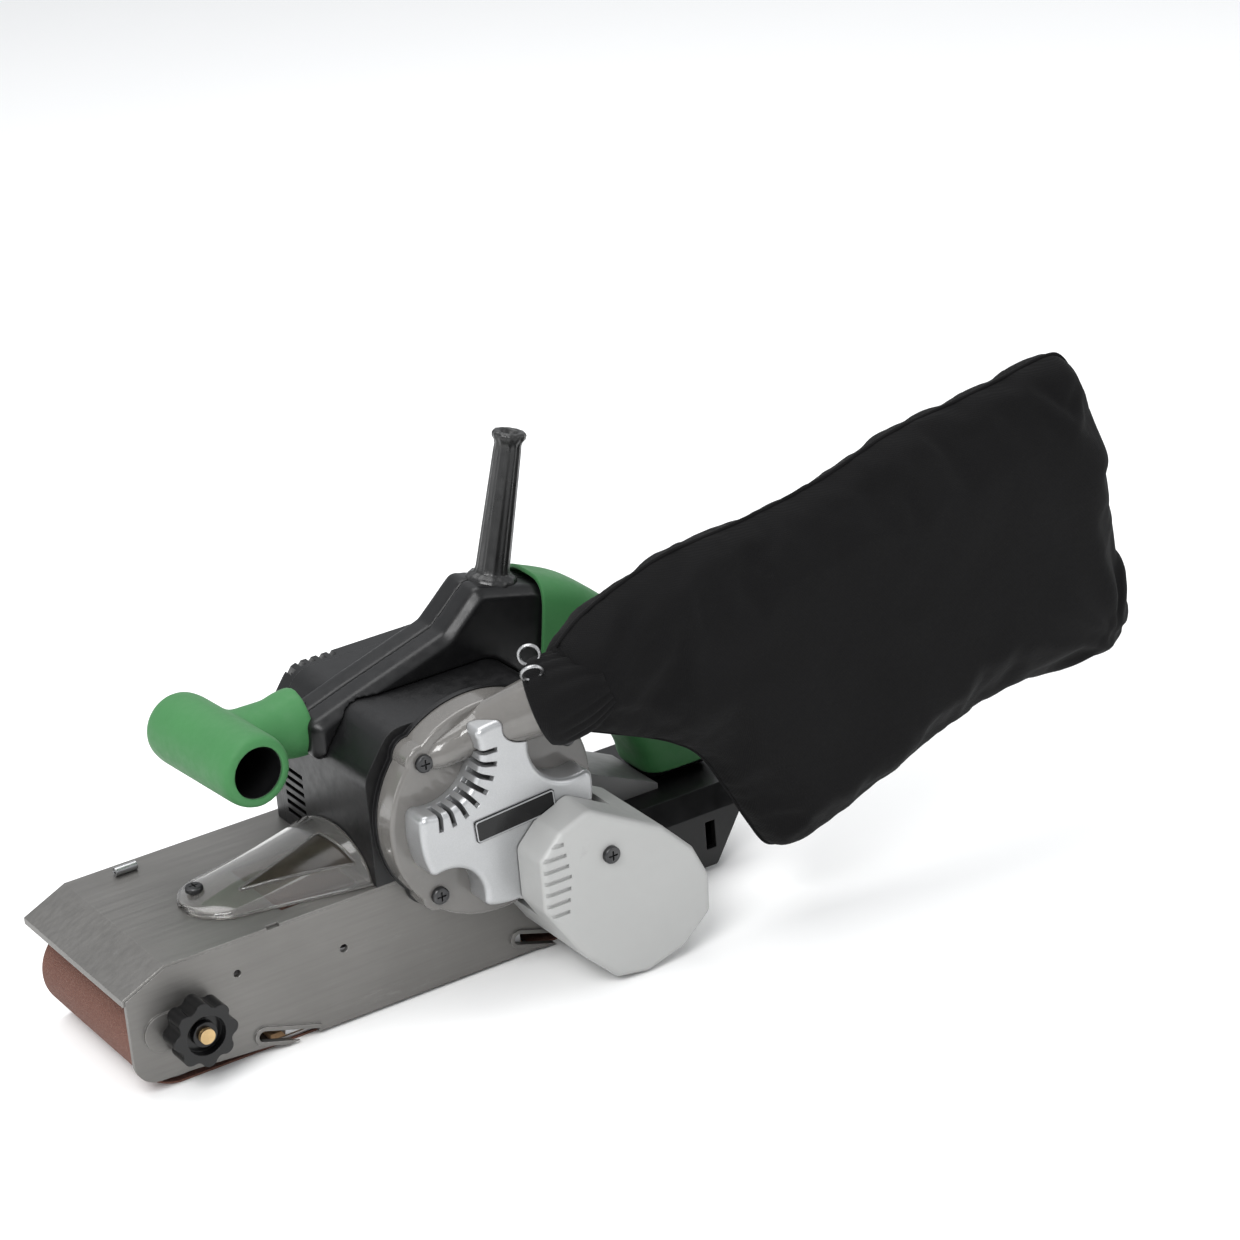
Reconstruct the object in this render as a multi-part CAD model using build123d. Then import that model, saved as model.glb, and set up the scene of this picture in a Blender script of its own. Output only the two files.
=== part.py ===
"""Handheld belt sander for a 100 mm wide abrasive belt, built piece by piece.

Millimetres.  +X runs to the rear handle, -Y is the drive side with the covers and the
tracking knob, +Z is up.  The origin is the centre of the sole, on the working plane.
"""
from build123d import *
from math import atan2, cos, degrees, hypot, pi, radians, sin, sqrt, tan
import os

# ---- driving dimensions -------------------------------------------------------------
belt_width = 100.0
belt_length = 610.0
belt_thick = 1.0
roller_r = 24.0
belt_gap = 0.3            # belt to turning rollers
run_fit = 0.05            # radial clearance of a shaft in its bore
side_gap = 2.5            # belt edge to side frame
plate_thick = 2.5
guard_top = 68.0
guard_thick = 1.5
hook_rim = 1.2            # raised rim round the accessory slots
lip_drop = 11.0
lip_reach = 24.0
nose_overhang = 3.2       # guard's front edge ahead of the belt
tail_overhang = 2.7       # side frame's rear edge behind the belt
foot_gap = 2.46           # foot behind the side frame
tension_travel = 6.0
body_to_drive = 113.536   # from the body's zero plane back to the drive axis
motor_back = 60.0         # armature axis behind the body's zero plane
motor_z = 99.0
housing_wall = 3.0
housing_length = 118.0
housing_top = 149.0
housing_far = 38.0        # where the end cover joins
end_cover_depth = 18.0
stator_r = 27.8
armature_r = 15.5
fan_room = 13.5           # fan tip to the outside of its case
fan_width = 9.0
fan_case_r = 57.5
fan_case_depth = 14.0
gear_module = 1.25
pinion_teeth = 10
gear_teeth = 35
gear_width = 5.0
lobe_r = 28.0             # gear cover over the large gear
small_pulley_teeth = 15
large_pulley_teeth = 32
tooth_pitch = 3.2         # timing belt pitch
timing_width = 11.0
timing_thick = 1.8
cover_depth = 24.0        # belt cover's face outside the gear cover's
cover_wall = 2.5
handle_half = 17.0
handle_wall = 3.0
grip_skin = 2.0
trigger_travel = 5.0
lock_travel = 3.0
screw_r = 2.0
screw_head_r = 4.6
screw_head_h = 2.8
bar_r = 18.5
bar_skin = 2.5
bar_wall = 2.6
cord_bore_r = 4.2
duct_start_r = 7.5
duct_knee_r = 12.0
duct_end_r = 16.6
duct_wall = 2.2
clip_wire = 0.9
clip_stand = 3.5          # clip ring outside the duct's mouth
bag_half = 22.5
bag_gap = 0.4

# ---- places worked out from them ----------------------------------------------------
belt_in_r = roller_r + belt_gap
belt_out_r = belt_in_r + belt_thick
roller_z = belt_out_r
axis_distance = (belt_length - 2 * pi * (belt_in_r + belt_thick / 2)) / 2
idler_x = -axis_distance / 2
drive_x = axis_distance / 2
half_belt = belt_width / 2
plate_in = -half_belt - side_gap
plate_out = plate_in - plate_thick
half_guard = -plate_out
guard_front = idler_x - belt_out_r - nose_overhang
frame_rear = drive_x + belt_out_r + tail_overhang
roller_half = half_belt - 3.0

body_x = drive_x - body_to_drive                     # zero plane of the motor, handles and covers
motor_x = body_x + motor_back
housing_front = body_x
housing_rear = body_x + housing_length
fan_r = fan_case_r - fan_room
case_out = plate_out - 3.0 - fan_case_depth          # outer face of the fan case
spider_out = case_out - 16.0                         # outer face of the gear cover
cover_face_y = spider_out - cover_depth
gear_mid = case_out - 4.5 - gear_width / 2 - 0.5
pulley_in = spider_out - 6.0
pulley_out = pulley_in - timing_width - 2.0

centre_distance = gear_module * (pinion_teeth + gear_teeth) / 2
to_drive = hypot(drive_x - motor_x, roller_z - motor_z)
gear_x = motor_x + centre_distance * (drive_x - motor_x) / to_drive
gear_z = motor_z + centre_distance * (roller_z - motor_z) / to_drive
small_pulley_r = small_pulley_teeth * tooth_pitch / (2 * pi)
large_pulley_r = large_pulley_teeth * tooth_pitch / (2 * pi)

pivot_x = idler_x + roller_r + 13.5                  # yaw pin of the idler yoke
knob_x = idler_x + 5.0
knob_z = roller_z + 8.0
beam_front = pivot_x + 18.0
beam_rear = drive_x - roller_r - 11.0
platen_thick = 1.5
cork_thick = 3.0
beam_bottom = belt_thick + platen_thick + cork_thick
beam_top = 2 * belt_out_r - beam_bottom - 4.0
lever_x = beam_front + 28.0
lever_y = 24.0

duct_start = Vector(body_x + 34.0, plate_out - 14.0, 136.0)
duct_knee = Vector(body_x + 60.0, plate_out - 16.5, 143.0)
duct_end = Vector(body_x + 91.5, plate_out - 36.0, 155.2)
duct_dir = (duct_end - duct_knee).normalized()
cord_base = Vector(body_x + 112.0, 0, 184.0)
cord_dir = Vector(0.25, 0, 1).normalized()
cord_length = 76.0
trigger_dir = Vector(0.735, 0, 0.678).normalized()
trigger_at = Vector(body_x + 154.5, 0, 114.5)
lock_at = (body_x + 150.0, 141.0)
bar_near = Vector(body_x - 46.0, -35.0, 139.0)
bar_far = Vector(body_x - 50.0, 46.0, 137.0)

foot_front = frame_rear + foot_gap
rear_hook = (drive_x - 37.5, 11.5)
fan_screw_ring = fan_case_r - 6.6
fan_screws = [(motor_x + fan_screw_ring * cos(radians(turn)), motor_z + fan_screw_ring * sin(radians(turn)))
              for turn in (27.6, 135.0, 226.6)]
cover_screw = (body_x + 101.0, 74.0)
window_screw = (body_x - 75.0, -5.0)


# ---- helpers ------------------------------------------------------------------------
def slab(sketch, y0, y1):
    """Extrude a sketch drawn in X and Z from y0 to y1."""
    plane = Plane(origin=(0, y1, 0), x_dir=(1, 0, 0), z_dir=(0, -1, 0))
    return extrude(plane * sketch, amount=y1 - y0, dir=(0, -1, 0))


def slab_x(points, x0, x1):
    """Extrude a polygon of Y and Z points from x0 to x1."""
    plane = Plane(origin=(x0, 0, 0), x_dir=(0, 1, 0), z_dir=(1, 0, 0))
    return extrude(plane * Polygon(*points, align=None), amount=x1 - x0, dir=(1, 0, 0))


def disc(radius, x, z):
    return Pos(x, z) * Circle(radius)


def rod(radius, y0, y1, x, z):
    return slab(disc(radius, x, z), y0, y1)


def tube(outer, inner, y0, y1, x, z):
    return slab(disc(outer, x, z) - disc(inner, x, z), y0, y1)


def block(x0, x1, y0, y1, z0, z1):
    return Pos((x0 + x1) / 2, (y0 + y1) / 2, (z0 + z1) / 2) * Box(x1 - x0, y1 - y0, z1 - z0)


def outline(points, radius=0.0):
    face = Polygon(*points, align=None)
    if radius:
        face = fillet(face.vertices(), radius)
    return face


def hull(x0, z0, r0, x1, z1, r1):
    """Two circles and their outer tangents."""
    return make_hull(disc(r0, x0, z0).edges() + disc(r1, x1, z1).edges())


def along(start, direction):
    """A frame at start whose Z is the direction."""
    return Plane(origin=start, z_dir=direction)


def turned(profile, plane):
    """Revolve (radius, height) points about the plane's Z."""
    face = Plane.XZ * Polygon(*profile, align=None)
    return plane.location * revolve(face, Axis.Z)


def screw_y(x, y, z, length):
    """Cross-recess pan head screw with its head seated at y, pointing to +Y."""
    head = rod(screw_head_r, y - screw_head_h, y, x, z)
    head = fillet(head.faces().sort_by(Axis.Y)[0].edges(), 1.2)
    cross = block(x - 2.6, x + 2.6, y - 3.0, y - 1.3, z - 0.5, z + 0.5)
    cross += block(x - 0.5, x + 0.5, y - 3.0, y - 1.3, z - 2.6, z + 2.6)
    return head - cross + rod(screw_r, y, y + length, x, z)


def helix_spring(radius, wire, pitch, length, plane):
    path = Edge.make_helix(pitch, length, radius)
    start = Plane(origin=path @ 0, z_dir=path % 0)
    coil = sweep(start * Circle(wire), path=path, is_frenet=True)
    return plane.location * coil


def involute_gear(teeth, width, y_mid, x, z, phase, backlash):
    """Spur gear with involute flanks, 20 degree pressure angle."""
    pitch_r = gear_module * teeth / 2
    base_r = pitch_r * cos(radians(20))
    tip_r = pitch_r + gear_module * 0.9
    root_r = pitch_r - gear_module * 1.25
    half_tooth = pi / (2 * teeth) - backlash / pitch_r / 2
    roll = tan(radians(20)) - radians(20)
    points = []
    for tooth in range(teeth):
        middle = 2 * pi * tooth / teeth + phase
        flank = []
        for step in range(5):
            r = max(base_r, root_r) + (tip_r - max(base_r, root_r)) * step / 4
            pressure = tan(_acos(base_r / r)) - _acos(base_r / r)
            flank.append((r, half_tooth + roll - pressure))
        flank.insert(0, (root_r, half_tooth + roll + 0.01))
        points += [(r * cos(middle - a), r * sin(middle - a)) for r, a in flank]
        points += [(r * cos(middle + a), r * sin(middle + a)) for r, a in reversed(flank)]
    face = Pos(x, z) * Polygon(*points, align=None)
    return slab(face, y_mid - width / 2, y_mid + width / 2)


def _acos(value):
    return atan2(sqrt(max(0.0, 1 - value * value)), value)


def toothed_pulley(teeth, radius, y0, y1, x, z, bore):
    face = disc(radius, x, z)
    for tooth in range(teeth):
        turn = 2 * pi * tooth / teeth
        face -= disc(0.7, x + radius * cos(turn), z + radius * sin(turn))
    body = slab(face, y0 + 1.0, y1 - 1.0)
    for edge in ((y0, y0 + 1.0), (y1 - 1.0, y1)):
        body += rod(radius + timing_thick + 0.1, edge[0], edge[1], x, z)
    return body - rod(bore, y0 - 1, y1 + 1, x, z)


def bearing(outer, inner, y0, y1, x, z):
    """Shielded ball bearing as one ring with a groove on each face."""
    ring = tube(outer, inner, y0, y1, x, z)
    mid = (outer + inner) / 2
    for face_y in (y0, y1):
        ring -= tube(mid + 1.2, mid - 1.2, face_y - 0.4, face_y + 0.4, x, z)
    return ring


# ---- frame, guard and sole ----------------------------------------------------------
def side_frame():
    """Pressed steel side plate with accessory slots and an oblong pad for the tracking screw."""
    top = guard_top - guard_thick
    front = guard_front + 1.6
    rear = frame_rear
    points = [(front, 8.0), (front, guard_top - lip_drop - 1.2), (guard_front + lip_reach + 0.3, top),
              (housing_rear + 3.4, top), (rear, 50.3), (rear, 12.0), (rear - 12, 2.0), (idler_x + 71.5, 2.0),
              (idler_x + 4.5, 7.0)]
    face = Polygon(*points, align=None)
    corner = [v for v in face.vertices() if hypot(v.X - front, v.Y - 8.0) < 0.1]
    face = fillet(corner, 13)
    plate = slab(face, plate_out, plate_in)
    for x, z, r in ((idler_x + 33.0, 49.5, 2.0), (body_x - 22.0, 42.0, 2.2)):
        plate -= rod(r, plate_out - 1, plate_in + 1, x, z)
    plate -= rod(4.0 + run_fit, plate_out - 1, plate_in + 1, knob_x, knob_z)
    plate -= rod(16.5, plate_out - 1, plate_in + 1, drive_x, roller_z)
    for x, z in ((idler_x + 42.5, 11.0), rear_hook):
        plate += slab(hook_shape(x, z, 5.0), plate_out - hook_rim, plate_out)
        plate -= slab(hook_shape(x, z, 2.9), plate_out - 2, plate_in + 1)
    pad = Pos(knob_x - 7, knob_z) * SlotOverall(36, 20) - disc(4 + run_fit, knob_x, knob_z)
    return plate + slab(pad, plate_out - 1.5, plate_out)


def hook_shape(x, z, half):
    """Slanted slot that runs out through the lower edge."""
    length, drop = 30.0, 9.5
    slope = atan2(-drop, length)
    reach = hypot(length, drop)
    shape = Pos(x, z) * Rot(0, 0, degrees(slope)) * (
        Circle(half) + Pos(reach / 2, 0) * Rectangle(reach, 2 * half))
    return shape & (Pos(x + 8, 27.0) * Rectangle(60, 50))


def belt_guard():
    """Folded sheet over the belt: sloping lip, flat top, sloping tail."""
    tip_z = guard_top - lip_drop
    outer = [(guard_front, tip_z), (guard_front + lip_reach, guard_top), (housing_rear + 4, guard_top),
             (frame_rear + 1.0, 52.0)]
    t = guard_thick
    inner = [(frame_rear, 52.0 - t), (housing_rear + 3.6, guard_top - t),
             (guard_front + lip_reach + 0.3, guard_top - t), (guard_front + 1.4, tip_z - t + 0.5),
             (guard_front + 1.4, tip_z - 3.5), (guard_front, tip_z - 3.5)]
    sheet = slab(Polygon(*(outer + inner), align=None), plate_out, half_guard)
    sheet -= block(body_x - 62, body_x - 55, plate_out - 1, plate_out + 2.2, guard_top - 2, guard_top + 1)
    sheet -= block(body_x - 48, body_x - 4, -44, 12, guard_top - 4, guard_top + 2)
    sheet -= Pos(window_screw[0], window_screw[1], guard_top) * Cylinder(screw_r, 10)
    return sheet


def guard_pin():
    """Slotted roll pin lying on the guard near its far edge."""
    pin = Cylinder(2.4, 12) - Cylinder(1.3, 14) - Pos(0, 2, 0) * Box(0.9, 4, 14)
    return Pos(idler_x + 24.5, 44, guard_top + 2.4) * Rot(0, 90, 0) * pin


def platen_beam():
    """Cast channel, open to the far side, that carries the sole and the tension gear."""
    y0, y1 = plate_in, half_belt - 3.0
    beam = block(beam_front, beam_rear, y0, y1, beam_bottom, beam_top)
    beam -= block(beam_front + 6, beam_rear - 5, y0 + 6, y1 + 1, beam_bottom + 5, beam_top - 4)
    beam -= Pos(beam_front, 0, roller_z) * Rot(0, 90, 0) * Cylinder(6.0 + run_fit, 20)
    stop_x = beam_front + 56
    stop = block(stop_x, stop_x + 5, -16, 16, beam_bottom + 5, beam_top - 4)
    beam += stop
    beam -= Pos(lever_x, lever_y, roller_z) * Cylinder(3.0 + run_fit, 60)
    return beam


def cork_pad():
    return block(beam_front - 6, beam_rear + 3, -half_belt + 2, half_belt - 2,
                 belt_thick + platen_thick, beam_bottom)


def platen_plate():
    """Sprung steel sole with its ends turned up."""
    x0, x1 = beam_front - 14, beam_rear + 7
    plate = block(x0, x1, -half_belt + 1, half_belt - 1, belt_thick, belt_thick + platen_thick)
    edges = plate.edges().filter_by(Axis.Y).group_by(Axis.Z)[0]
    return fillet(edges, 1.3)


def abrasive_belt():
    outer = hull(idler_x, roller_z, belt_out_r, drive_x, roller_z, belt_out_r)
    inner = hull(idler_x, roller_z, belt_in_r, drive_x, roller_z, belt_in_r)
    return slab(outer - inner, -half_belt, half_belt)


# ---- idler, tension and tracking ----------------------------------------------------
def idler_roller():
    """Crowned aluminium roller with a bearing seat at each end."""
    h = roller_half
    arc = ThreePointArc((roller_r - 0.5, -h), (roller_r, 0), (roller_r - 0.5, h))
    lines = Polyline((roller_r - 0.5, h), (13, h), (13, h - 8), (11.5, h - 8), (11.5, 8 - h),
                     (13, 8 - h), (13, -h), (roller_r - 0.5, -h))
    face = make_face(Curve() + [arc, lines])
    body = revolve(Plane.XZ * face, Axis.Z)
    return Pos(idler_x, 0, roller_z) * Rot(90, 0, 0) * body


def idler_bearings():
    h = roller_half
    return Compound(children=[bearing(13, 5 + run_fit, y, y + 8, idler_x, roller_z) for y in (-h, h - 8)])


def idler_shaft():
    return rod(5.0, -roller_half - 3.1, roller_half + 3.1, idler_x, roller_z)


def idler_yoke():
    """Pressed fork that carries the idler shaft and turns on the yaw pin."""
    y0, y1 = roller_half + 0.6, roller_half + 3.1
    web_x = idler_x + roller_r + 2.5
    arm = hull(idler_x, roller_z, 14, web_x - 4, roller_z, 12)
    arm += Pos(web_x, roller_z) * Rectangle(6, 24)
    yoke = slab(arm, y0, y1) + slab(arm, -y1, -y0)
    yoke += block(web_x, web_x + 3, -y1, y1, roller_z - 12, roller_z + 12)
    tongue = block(web_x + 3, pivot_x, -7, 7, roller_z - 5, roller_z + 5)
    tongue += Pos(pivot_x, 0, roller_z) * Cylinder(7, 10)
    yoke += tongue
    yoke -= Pos(pivot_x, 0, roller_z) * Cylinder(4 + run_fit, 30)
    return yoke - idler_shaft()


def tension_carriage():
    """Fork with its riveted yaw pin, guide rod and spring collar, sliding in the beam."""
    back = pivot_x + 10.5
    fork = block(pivot_x - 6, back, -10, 10, roller_z - 9, roller_z + 9)
    fork -= block(pivot_x - 8, pivot_x + 7.6, -12, 12, roller_z - 5.3, roller_z + 5.3)
    fork += Pos(pivot_x, 0, roller_z) * Cylinder(4, 20)
    shaft = Pos((back + beam_front + 49) / 2, 0, roller_z) * Rot(0, 90, 0) * Cylinder(
        6.0, beam_front + 49 - back)
    collar = Pos(beam_front + 12, 0, roller_z) * Rot(0, 90, 0) * Cylinder(9.5, 4)
    x0 = beam_front + 10
    lug = block(x0, x0 + 4, 3, lever_y - 3.5, roller_z + 2.8, roller_z + 5.8)
    lug += block(x0, lever_x + 2.5, 10, lever_y - 3.5, roller_z + 2.8, roller_z + 5.8)
    crank_x = lever_x - tension_travel / 2
    lug -= block(crank_x - 2.1, crank_x + 2.1, 13.5, lever_y, roller_z, roller_z + 8)
    return fork + shaft + collar + lug


def tension_spring():
    start = Vector(beam_front + 15.3, 0, roller_z)
    length = beam_front + 56 - 1.3 - start.X
    return helix_spring(7.9, 1.1, length / 7, length, along(start, Vector(1, 0, 0)))


def tension_lever():
    """Flat lever on a riveted pin, with a crank pin for the carriage and a finger tab."""
    reach, thick = 62.0, 4.0
    arm = Pos(lever_x, lever_y) * Circle(8)
    arm += Polygon((lever_x - 5, lever_y + 6), (lever_x + 3, lever_y - 7), (lever_x + 20, lever_y + 5),
                   (lever_x + reach, lever_y + 14), (lever_x + reach, lever_y + 22),
                   (lever_x + 12, lever_y + 20), align=None)
    lever = extrude(Pos(0, 0, roller_z - thick / 2) * arm, amount=thick, dir=(0, 0, 1))
    lever += block(lever_x + reach - 16, lever_x + reach, lever_y + 18.5, lever_y + 22,
                   roller_z - 7, roller_z + 7)
    crank = Pos(lever_x - tension_travel / 2, lever_y - tension_travel * cos(radians(30)), roller_z + 4)
    lever += crank * Cylinder(2.0, 5)
    low = beam_bottom + 1
    return lever + Pos(lever_x, lever_y, (low + beam_top) / 2) * Cylinder(3.0, beam_top - low)


def tracking_washer():
    return tube(11, 4 + run_fit, plate_out - 4.2, plate_out - 2.4, knob_x, knob_z)


def tracking_knob():
    """Eight-lobed knob with a recessed face."""
    y1 = plate_out - 4.4
    y0 = y1 - 13
    lobes = disc(15.0, knob_x, knob_z)
    for turn in range(8):
        angle = radians(45 * turn)
        lobes += disc(4.2, knob_x + 13.0 * cos(angle), knob_z + 13.0 * sin(angle))
    for turn in range(8):
        angle = radians(45 * turn + 22.5)
        lobes -= disc(3.2, knob_x + 17.6 * cos(angle), knob_z + 17.6 * sin(angle))
    knob = slab(lobes, y0, y1)
    knob -= rod(10.5, y0 - 1, y0 + 5, knob_x, knob_z)
    knob += tube(6.5, 4.0, y0 + 1, y0 + 6, knob_x, knob_z)
    return knob - rod(4.0, y0 - 1, y1 + 1, knob_x, knob_z)


def tracking_screw():
    """Stud fixed in the knob; its inner end bears on the idler yoke."""
    y0 = plate_out - 4.4 - 14.5
    y1 = -roller_half - 3.1 - 0.3
    stud = rod(4.0, y0, y1, knob_x, knob_z)
    for ring in range(3):
        y = y0 + 1.0 + 1.25 * ring
        stud -= tube(4.5, 3.5, y, y + 0.6, knob_x, knob_z)
    return stud


# ---- drive roller -------------------------------------------------------------------
def bearing_tube():
    """Flanged quill bolted to the side frame, reaching into the drive roller."""
    body = tube(19, 14, plate_out - 3, plate_out, drive_x, roller_z)
    body += tube(16.5, 14, plate_out, 21, drive_x, roller_z)
    body -= rod(5.0, plate_out - 5, plate_out - 2, drive_x, roller_z)
    return body + tube(14, 12.5, -44, 12, drive_x, roller_z)


def drive_bearings():
    places = (plate_out + 2, 12.5)
    return Compound(children=[bearing(14, 6 + run_fit, y, y + 8, drive_x, roller_z) for y in places])


def drive_shaft():
    """Spindle with a shoulder, and its hexagon head outside the roller web."""
    shaft = rod(6, pulley_out - 1.5, roller_half + 3, drive_x, roller_z)
    shaft += rod(8, 21.0, 24.0, drive_x, roller_z)
    head = Pos(drive_x, roller_z) * RegularPolygon(9.2, 6)
    return shaft + slab(head, roller_half - 4, roller_half + 2)


def drive_roller_core():
    """Steel cup closed at its far end by a web keyed to the shaft."""
    cup = tube(roller_r - 2, 18, -roller_half, roller_half, drive_x, roller_z)
    cup += tube(18, 6, roller_half - 12, roller_half - 4, drive_x, roller_z)
    for turn in range(6):
        angle = radians(60 * turn)
        cup -= rod(2.6, roller_half - 13, roller_half - 3, drive_x + 12 * cos(angle),
                   roller_z + 12 * sin(angle))
    return cup


def drive_roller_sleeve():
    return tube(roller_r, roller_r - 2, -roller_half, roller_half, drive_x, roller_z)


# ---- reduction drive ----------------------------------------------------------------
def lower_pulley():
    return toothed_pulley(large_pulley_teeth, large_pulley_r, pulley_out, pulley_in, drive_x, roller_z, 6)


def timing_belt():
    """Toothed belt on its two pulleys, clear of the teeth by the belt gap."""
    inner = hull(gear_x, gear_z, small_pulley_r + belt_gap, drive_x, roller_z, large_pulley_r + belt_gap)
    outer = hull(gear_x, gear_z, small_pulley_r + belt_gap + timing_thick,
                 drive_x, roller_z, large_pulley_r + belt_gap + timing_thick)
    y0 = pulley_out + 1.0 + belt_gap
    return slab(outer - inner, y0, y0 + timing_width - 2 * belt_gap)


def gear_spindle():
    """Spindle with the small toothed pulley cut on its outer end."""
    pulley = toothed_pulley(small_pulley_teeth, small_pulley_r, pulley_out, pulley_in, gear_x, gear_z, 4)
    core = rod(4, pulley_out - 1.5, case_out - 0.5, gear_x, gear_z)
    return pulley + core + rod(6, pulley_in, spider_out + 5.2, gear_x, gear_z)


def reduction_gear():
    line = atan2(motor_z - gear_z, motor_x - gear_x)
    wheel = involute_gear(gear_teeth, gear_width, gear_mid, gear_x, gear_z, line, 0.16)
    return wheel - rod(4, gear_mid - 20, gear_mid + 20, gear_x, gear_z)


def pinion():
    line = atan2(gear_z - motor_z, gear_x - motor_x) + pi / pinion_teeth
    wheel = involute_gear(pinion_teeth, gear_width + 1, gear_mid, motor_x, motor_z, line, 0.16)
    return wheel - rod(3.5, gear_mid - 20, gear_mid + 20, motor_x, motor_z)


def spider_face(shrink=0.0):
    """Four-armed outline: a round cover with bites around the case screws, and a gear lobe."""
    middle_x, middle_z = motor_x, motor_z + 3
    face = disc(49.5 - shrink, middle_x, middle_z)
    bites = ((-37, 39, 25), (39, 33, 24), (-37, -37, 20), (45, -38, 18))
    for dx, dz, r in bites:
        face -= disc(r + shrink, motor_x + dx, motor_z + dz)
    face = fillet(face.vertices(), 4 - shrink * 0.5)
    lobe = disc(lobe_r - shrink, gear_x, gear_z)
    face += lobe
    joins = [v for v in face.vertices() if abs(hypot(v.X - gear_x, v.Y - gear_z) - lobe_r + shrink) < 0.01]
    return fillet(joins, 1.0)


def gear_cover():
    """Silver four-armed casting with vent fins in the bite nearest the front grip."""
    body = slab(spider_face(), spider_out, case_out)
    rim = body.faces().sort_by(Axis.Y)[0].edges()
    body = fillet(rim, 3.2)
    body -= slab(spider_face(3.0), spider_out + 3.5, case_out + 1)
    body += rod(9, spider_out, spider_out + 5.2, gear_x, gear_z)
    body -= rod(6 + run_fit, spider_out - 1, spider_out + 6, gear_x, gear_z)
    for fin in range(8):
        angle = radians(-92 + 13 * fin)
        x, z = motor_x - 37 + 28.5 * cos(angle), motor_z + 39 + 28.5 * sin(angle)
        slot = Pos(x, z) * Rot(0, 0, degrees(angle)) * Rectangle(11, 2.6)
        body -= slab(slot, spider_out - 1, spider_out + 12)
    body += tube(4.5, screw_r, cover_face_y + cover_wall, spider_out + 3.5, *cover_screw)
    return (body - duct_form(0.4)).solids().sort_by(SortBy.VOLUME)[-1]


def gear_plate():
    """Aluminium plate behind the gear cover, on the fan case."""
    plate = slab(spider_face(3.2), case_out - 4.0, case_out)
    plate -= rod(4 + run_fit, case_out - 5, case_out + 1, gear_x, gear_z)
    return plate - rod(10, case_out - 5, case_out + 1, motor_x, motor_z) - duct_form(0.4)


def badge_outline(grow=0.0):
    shape = Pos(motor_x + 3, motor_z) * Rot(0, 0, 4) * Rectangle(46 + grow, 12 + grow)
    return fillet(shape.vertices(), 1.5)


def badge_plate():
    return slab(badge_outline(), spider_out - 0.9, spider_out)


def cover_outline():
    points = [(62, 54), (62, 82), (74, 94), (92, 101), (133, 78), (150, 60), (158, 42), (157, 22),
              (140, 7), (118, 1), (100, 4), (82, 22)]
    return Pos(body_x, 0) * outline(points, 6)


def belt_cover():
    """Deep cover over both pulleys; it stands on the gear cover and reaches the side frame."""
    face = cover_outline()
    inner = offset(face, amount=-cover_wall)
    round_case = disc(fan_case_r + 1.0, motor_x, motor_z) + spider_face(-0.8)
    for x, z in fan_screws:
        round_case += disc(11, x, z)
    body = slab(face, cover_face_y, spider_out - 0.6)
    rim = body.faces().sort_by(Axis.Y)[0].edges()
    body = fillet(rim, 3.5)
    body -= slab(inner, cover_face_y + cover_wall, spider_out + 1)
    skirt = slab((face - inner) - round_case, spider_out - 0.6, plate_out - 0.2)
    skirt -= rod(25.4, plate_out - 3.4, plate_out + 1, drive_x, roller_z)
    skirt -= slab(hook_shape(*rear_hook, 5.2), plate_out - hook_rim - 0.2, plate_out)
    body += skirt
    for fin in range(7):
        z = 50 + 6.2 * fin
        end = body_x + 78 - 0.9 * abs(fin - 3)
        body -= block(body_x + 60, end, cover_face_y - 1, cover_face_y + 1.2, z, z + 2)
    body -= slab(badge_outline(0.8), spider_out - 1.3, spider_out)
    return body - rod(screw_r, cover_face_y - 1, cover_face_y + 5, *cover_screw)


# ---- fan case -----------------------------------------------------------------------
def case_outline(grow=0.0):
    face = disc(fan_case_r + grow, motor_x, motor_z)
    for x, z in fan_screws:
        face += disc(9.0 + grow, x, z)
    return face


def fan_flange():
    """Flange of the motor housing behind the clear fan case."""
    plate = slab(case_outline(0.8), plate_out - 3, plate_out)
    plate -= rod(22, plate_out - 4, plate_out + 1, motor_x, motor_z)
    plate -= rod(25.4, plate_out - 4, plate_out + 1, drive_x, roller_z)
    for x, z in fan_screws:
        plate -= rod(screw_r, plate_out - 4, plate_out + 1, x, z)
    return plate


def duct_form(grow=0.0, past=0.0):
    """Flared round duct with one knee; past lengthens its open end."""
    rise, run = duct_knee - duct_start, duct_end - duct_knee
    knee, mouth = duct_knee_r + grow, duct_end_r + grow
    first = turned([(0, 0), (duct_start_r + grow, 0), (knee, rise.length), (0, rise.length)],
                   along(duct_start, rise.normalized()))
    second = turned([(0, 0), (knee, 0), (mouth, run.length), (mouth, run.length + past),
                     (0, run.length + past)], along(duct_knee, duct_dir))
    return first + second + Pos(*duct_knee) * Sphere(knee)


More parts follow.
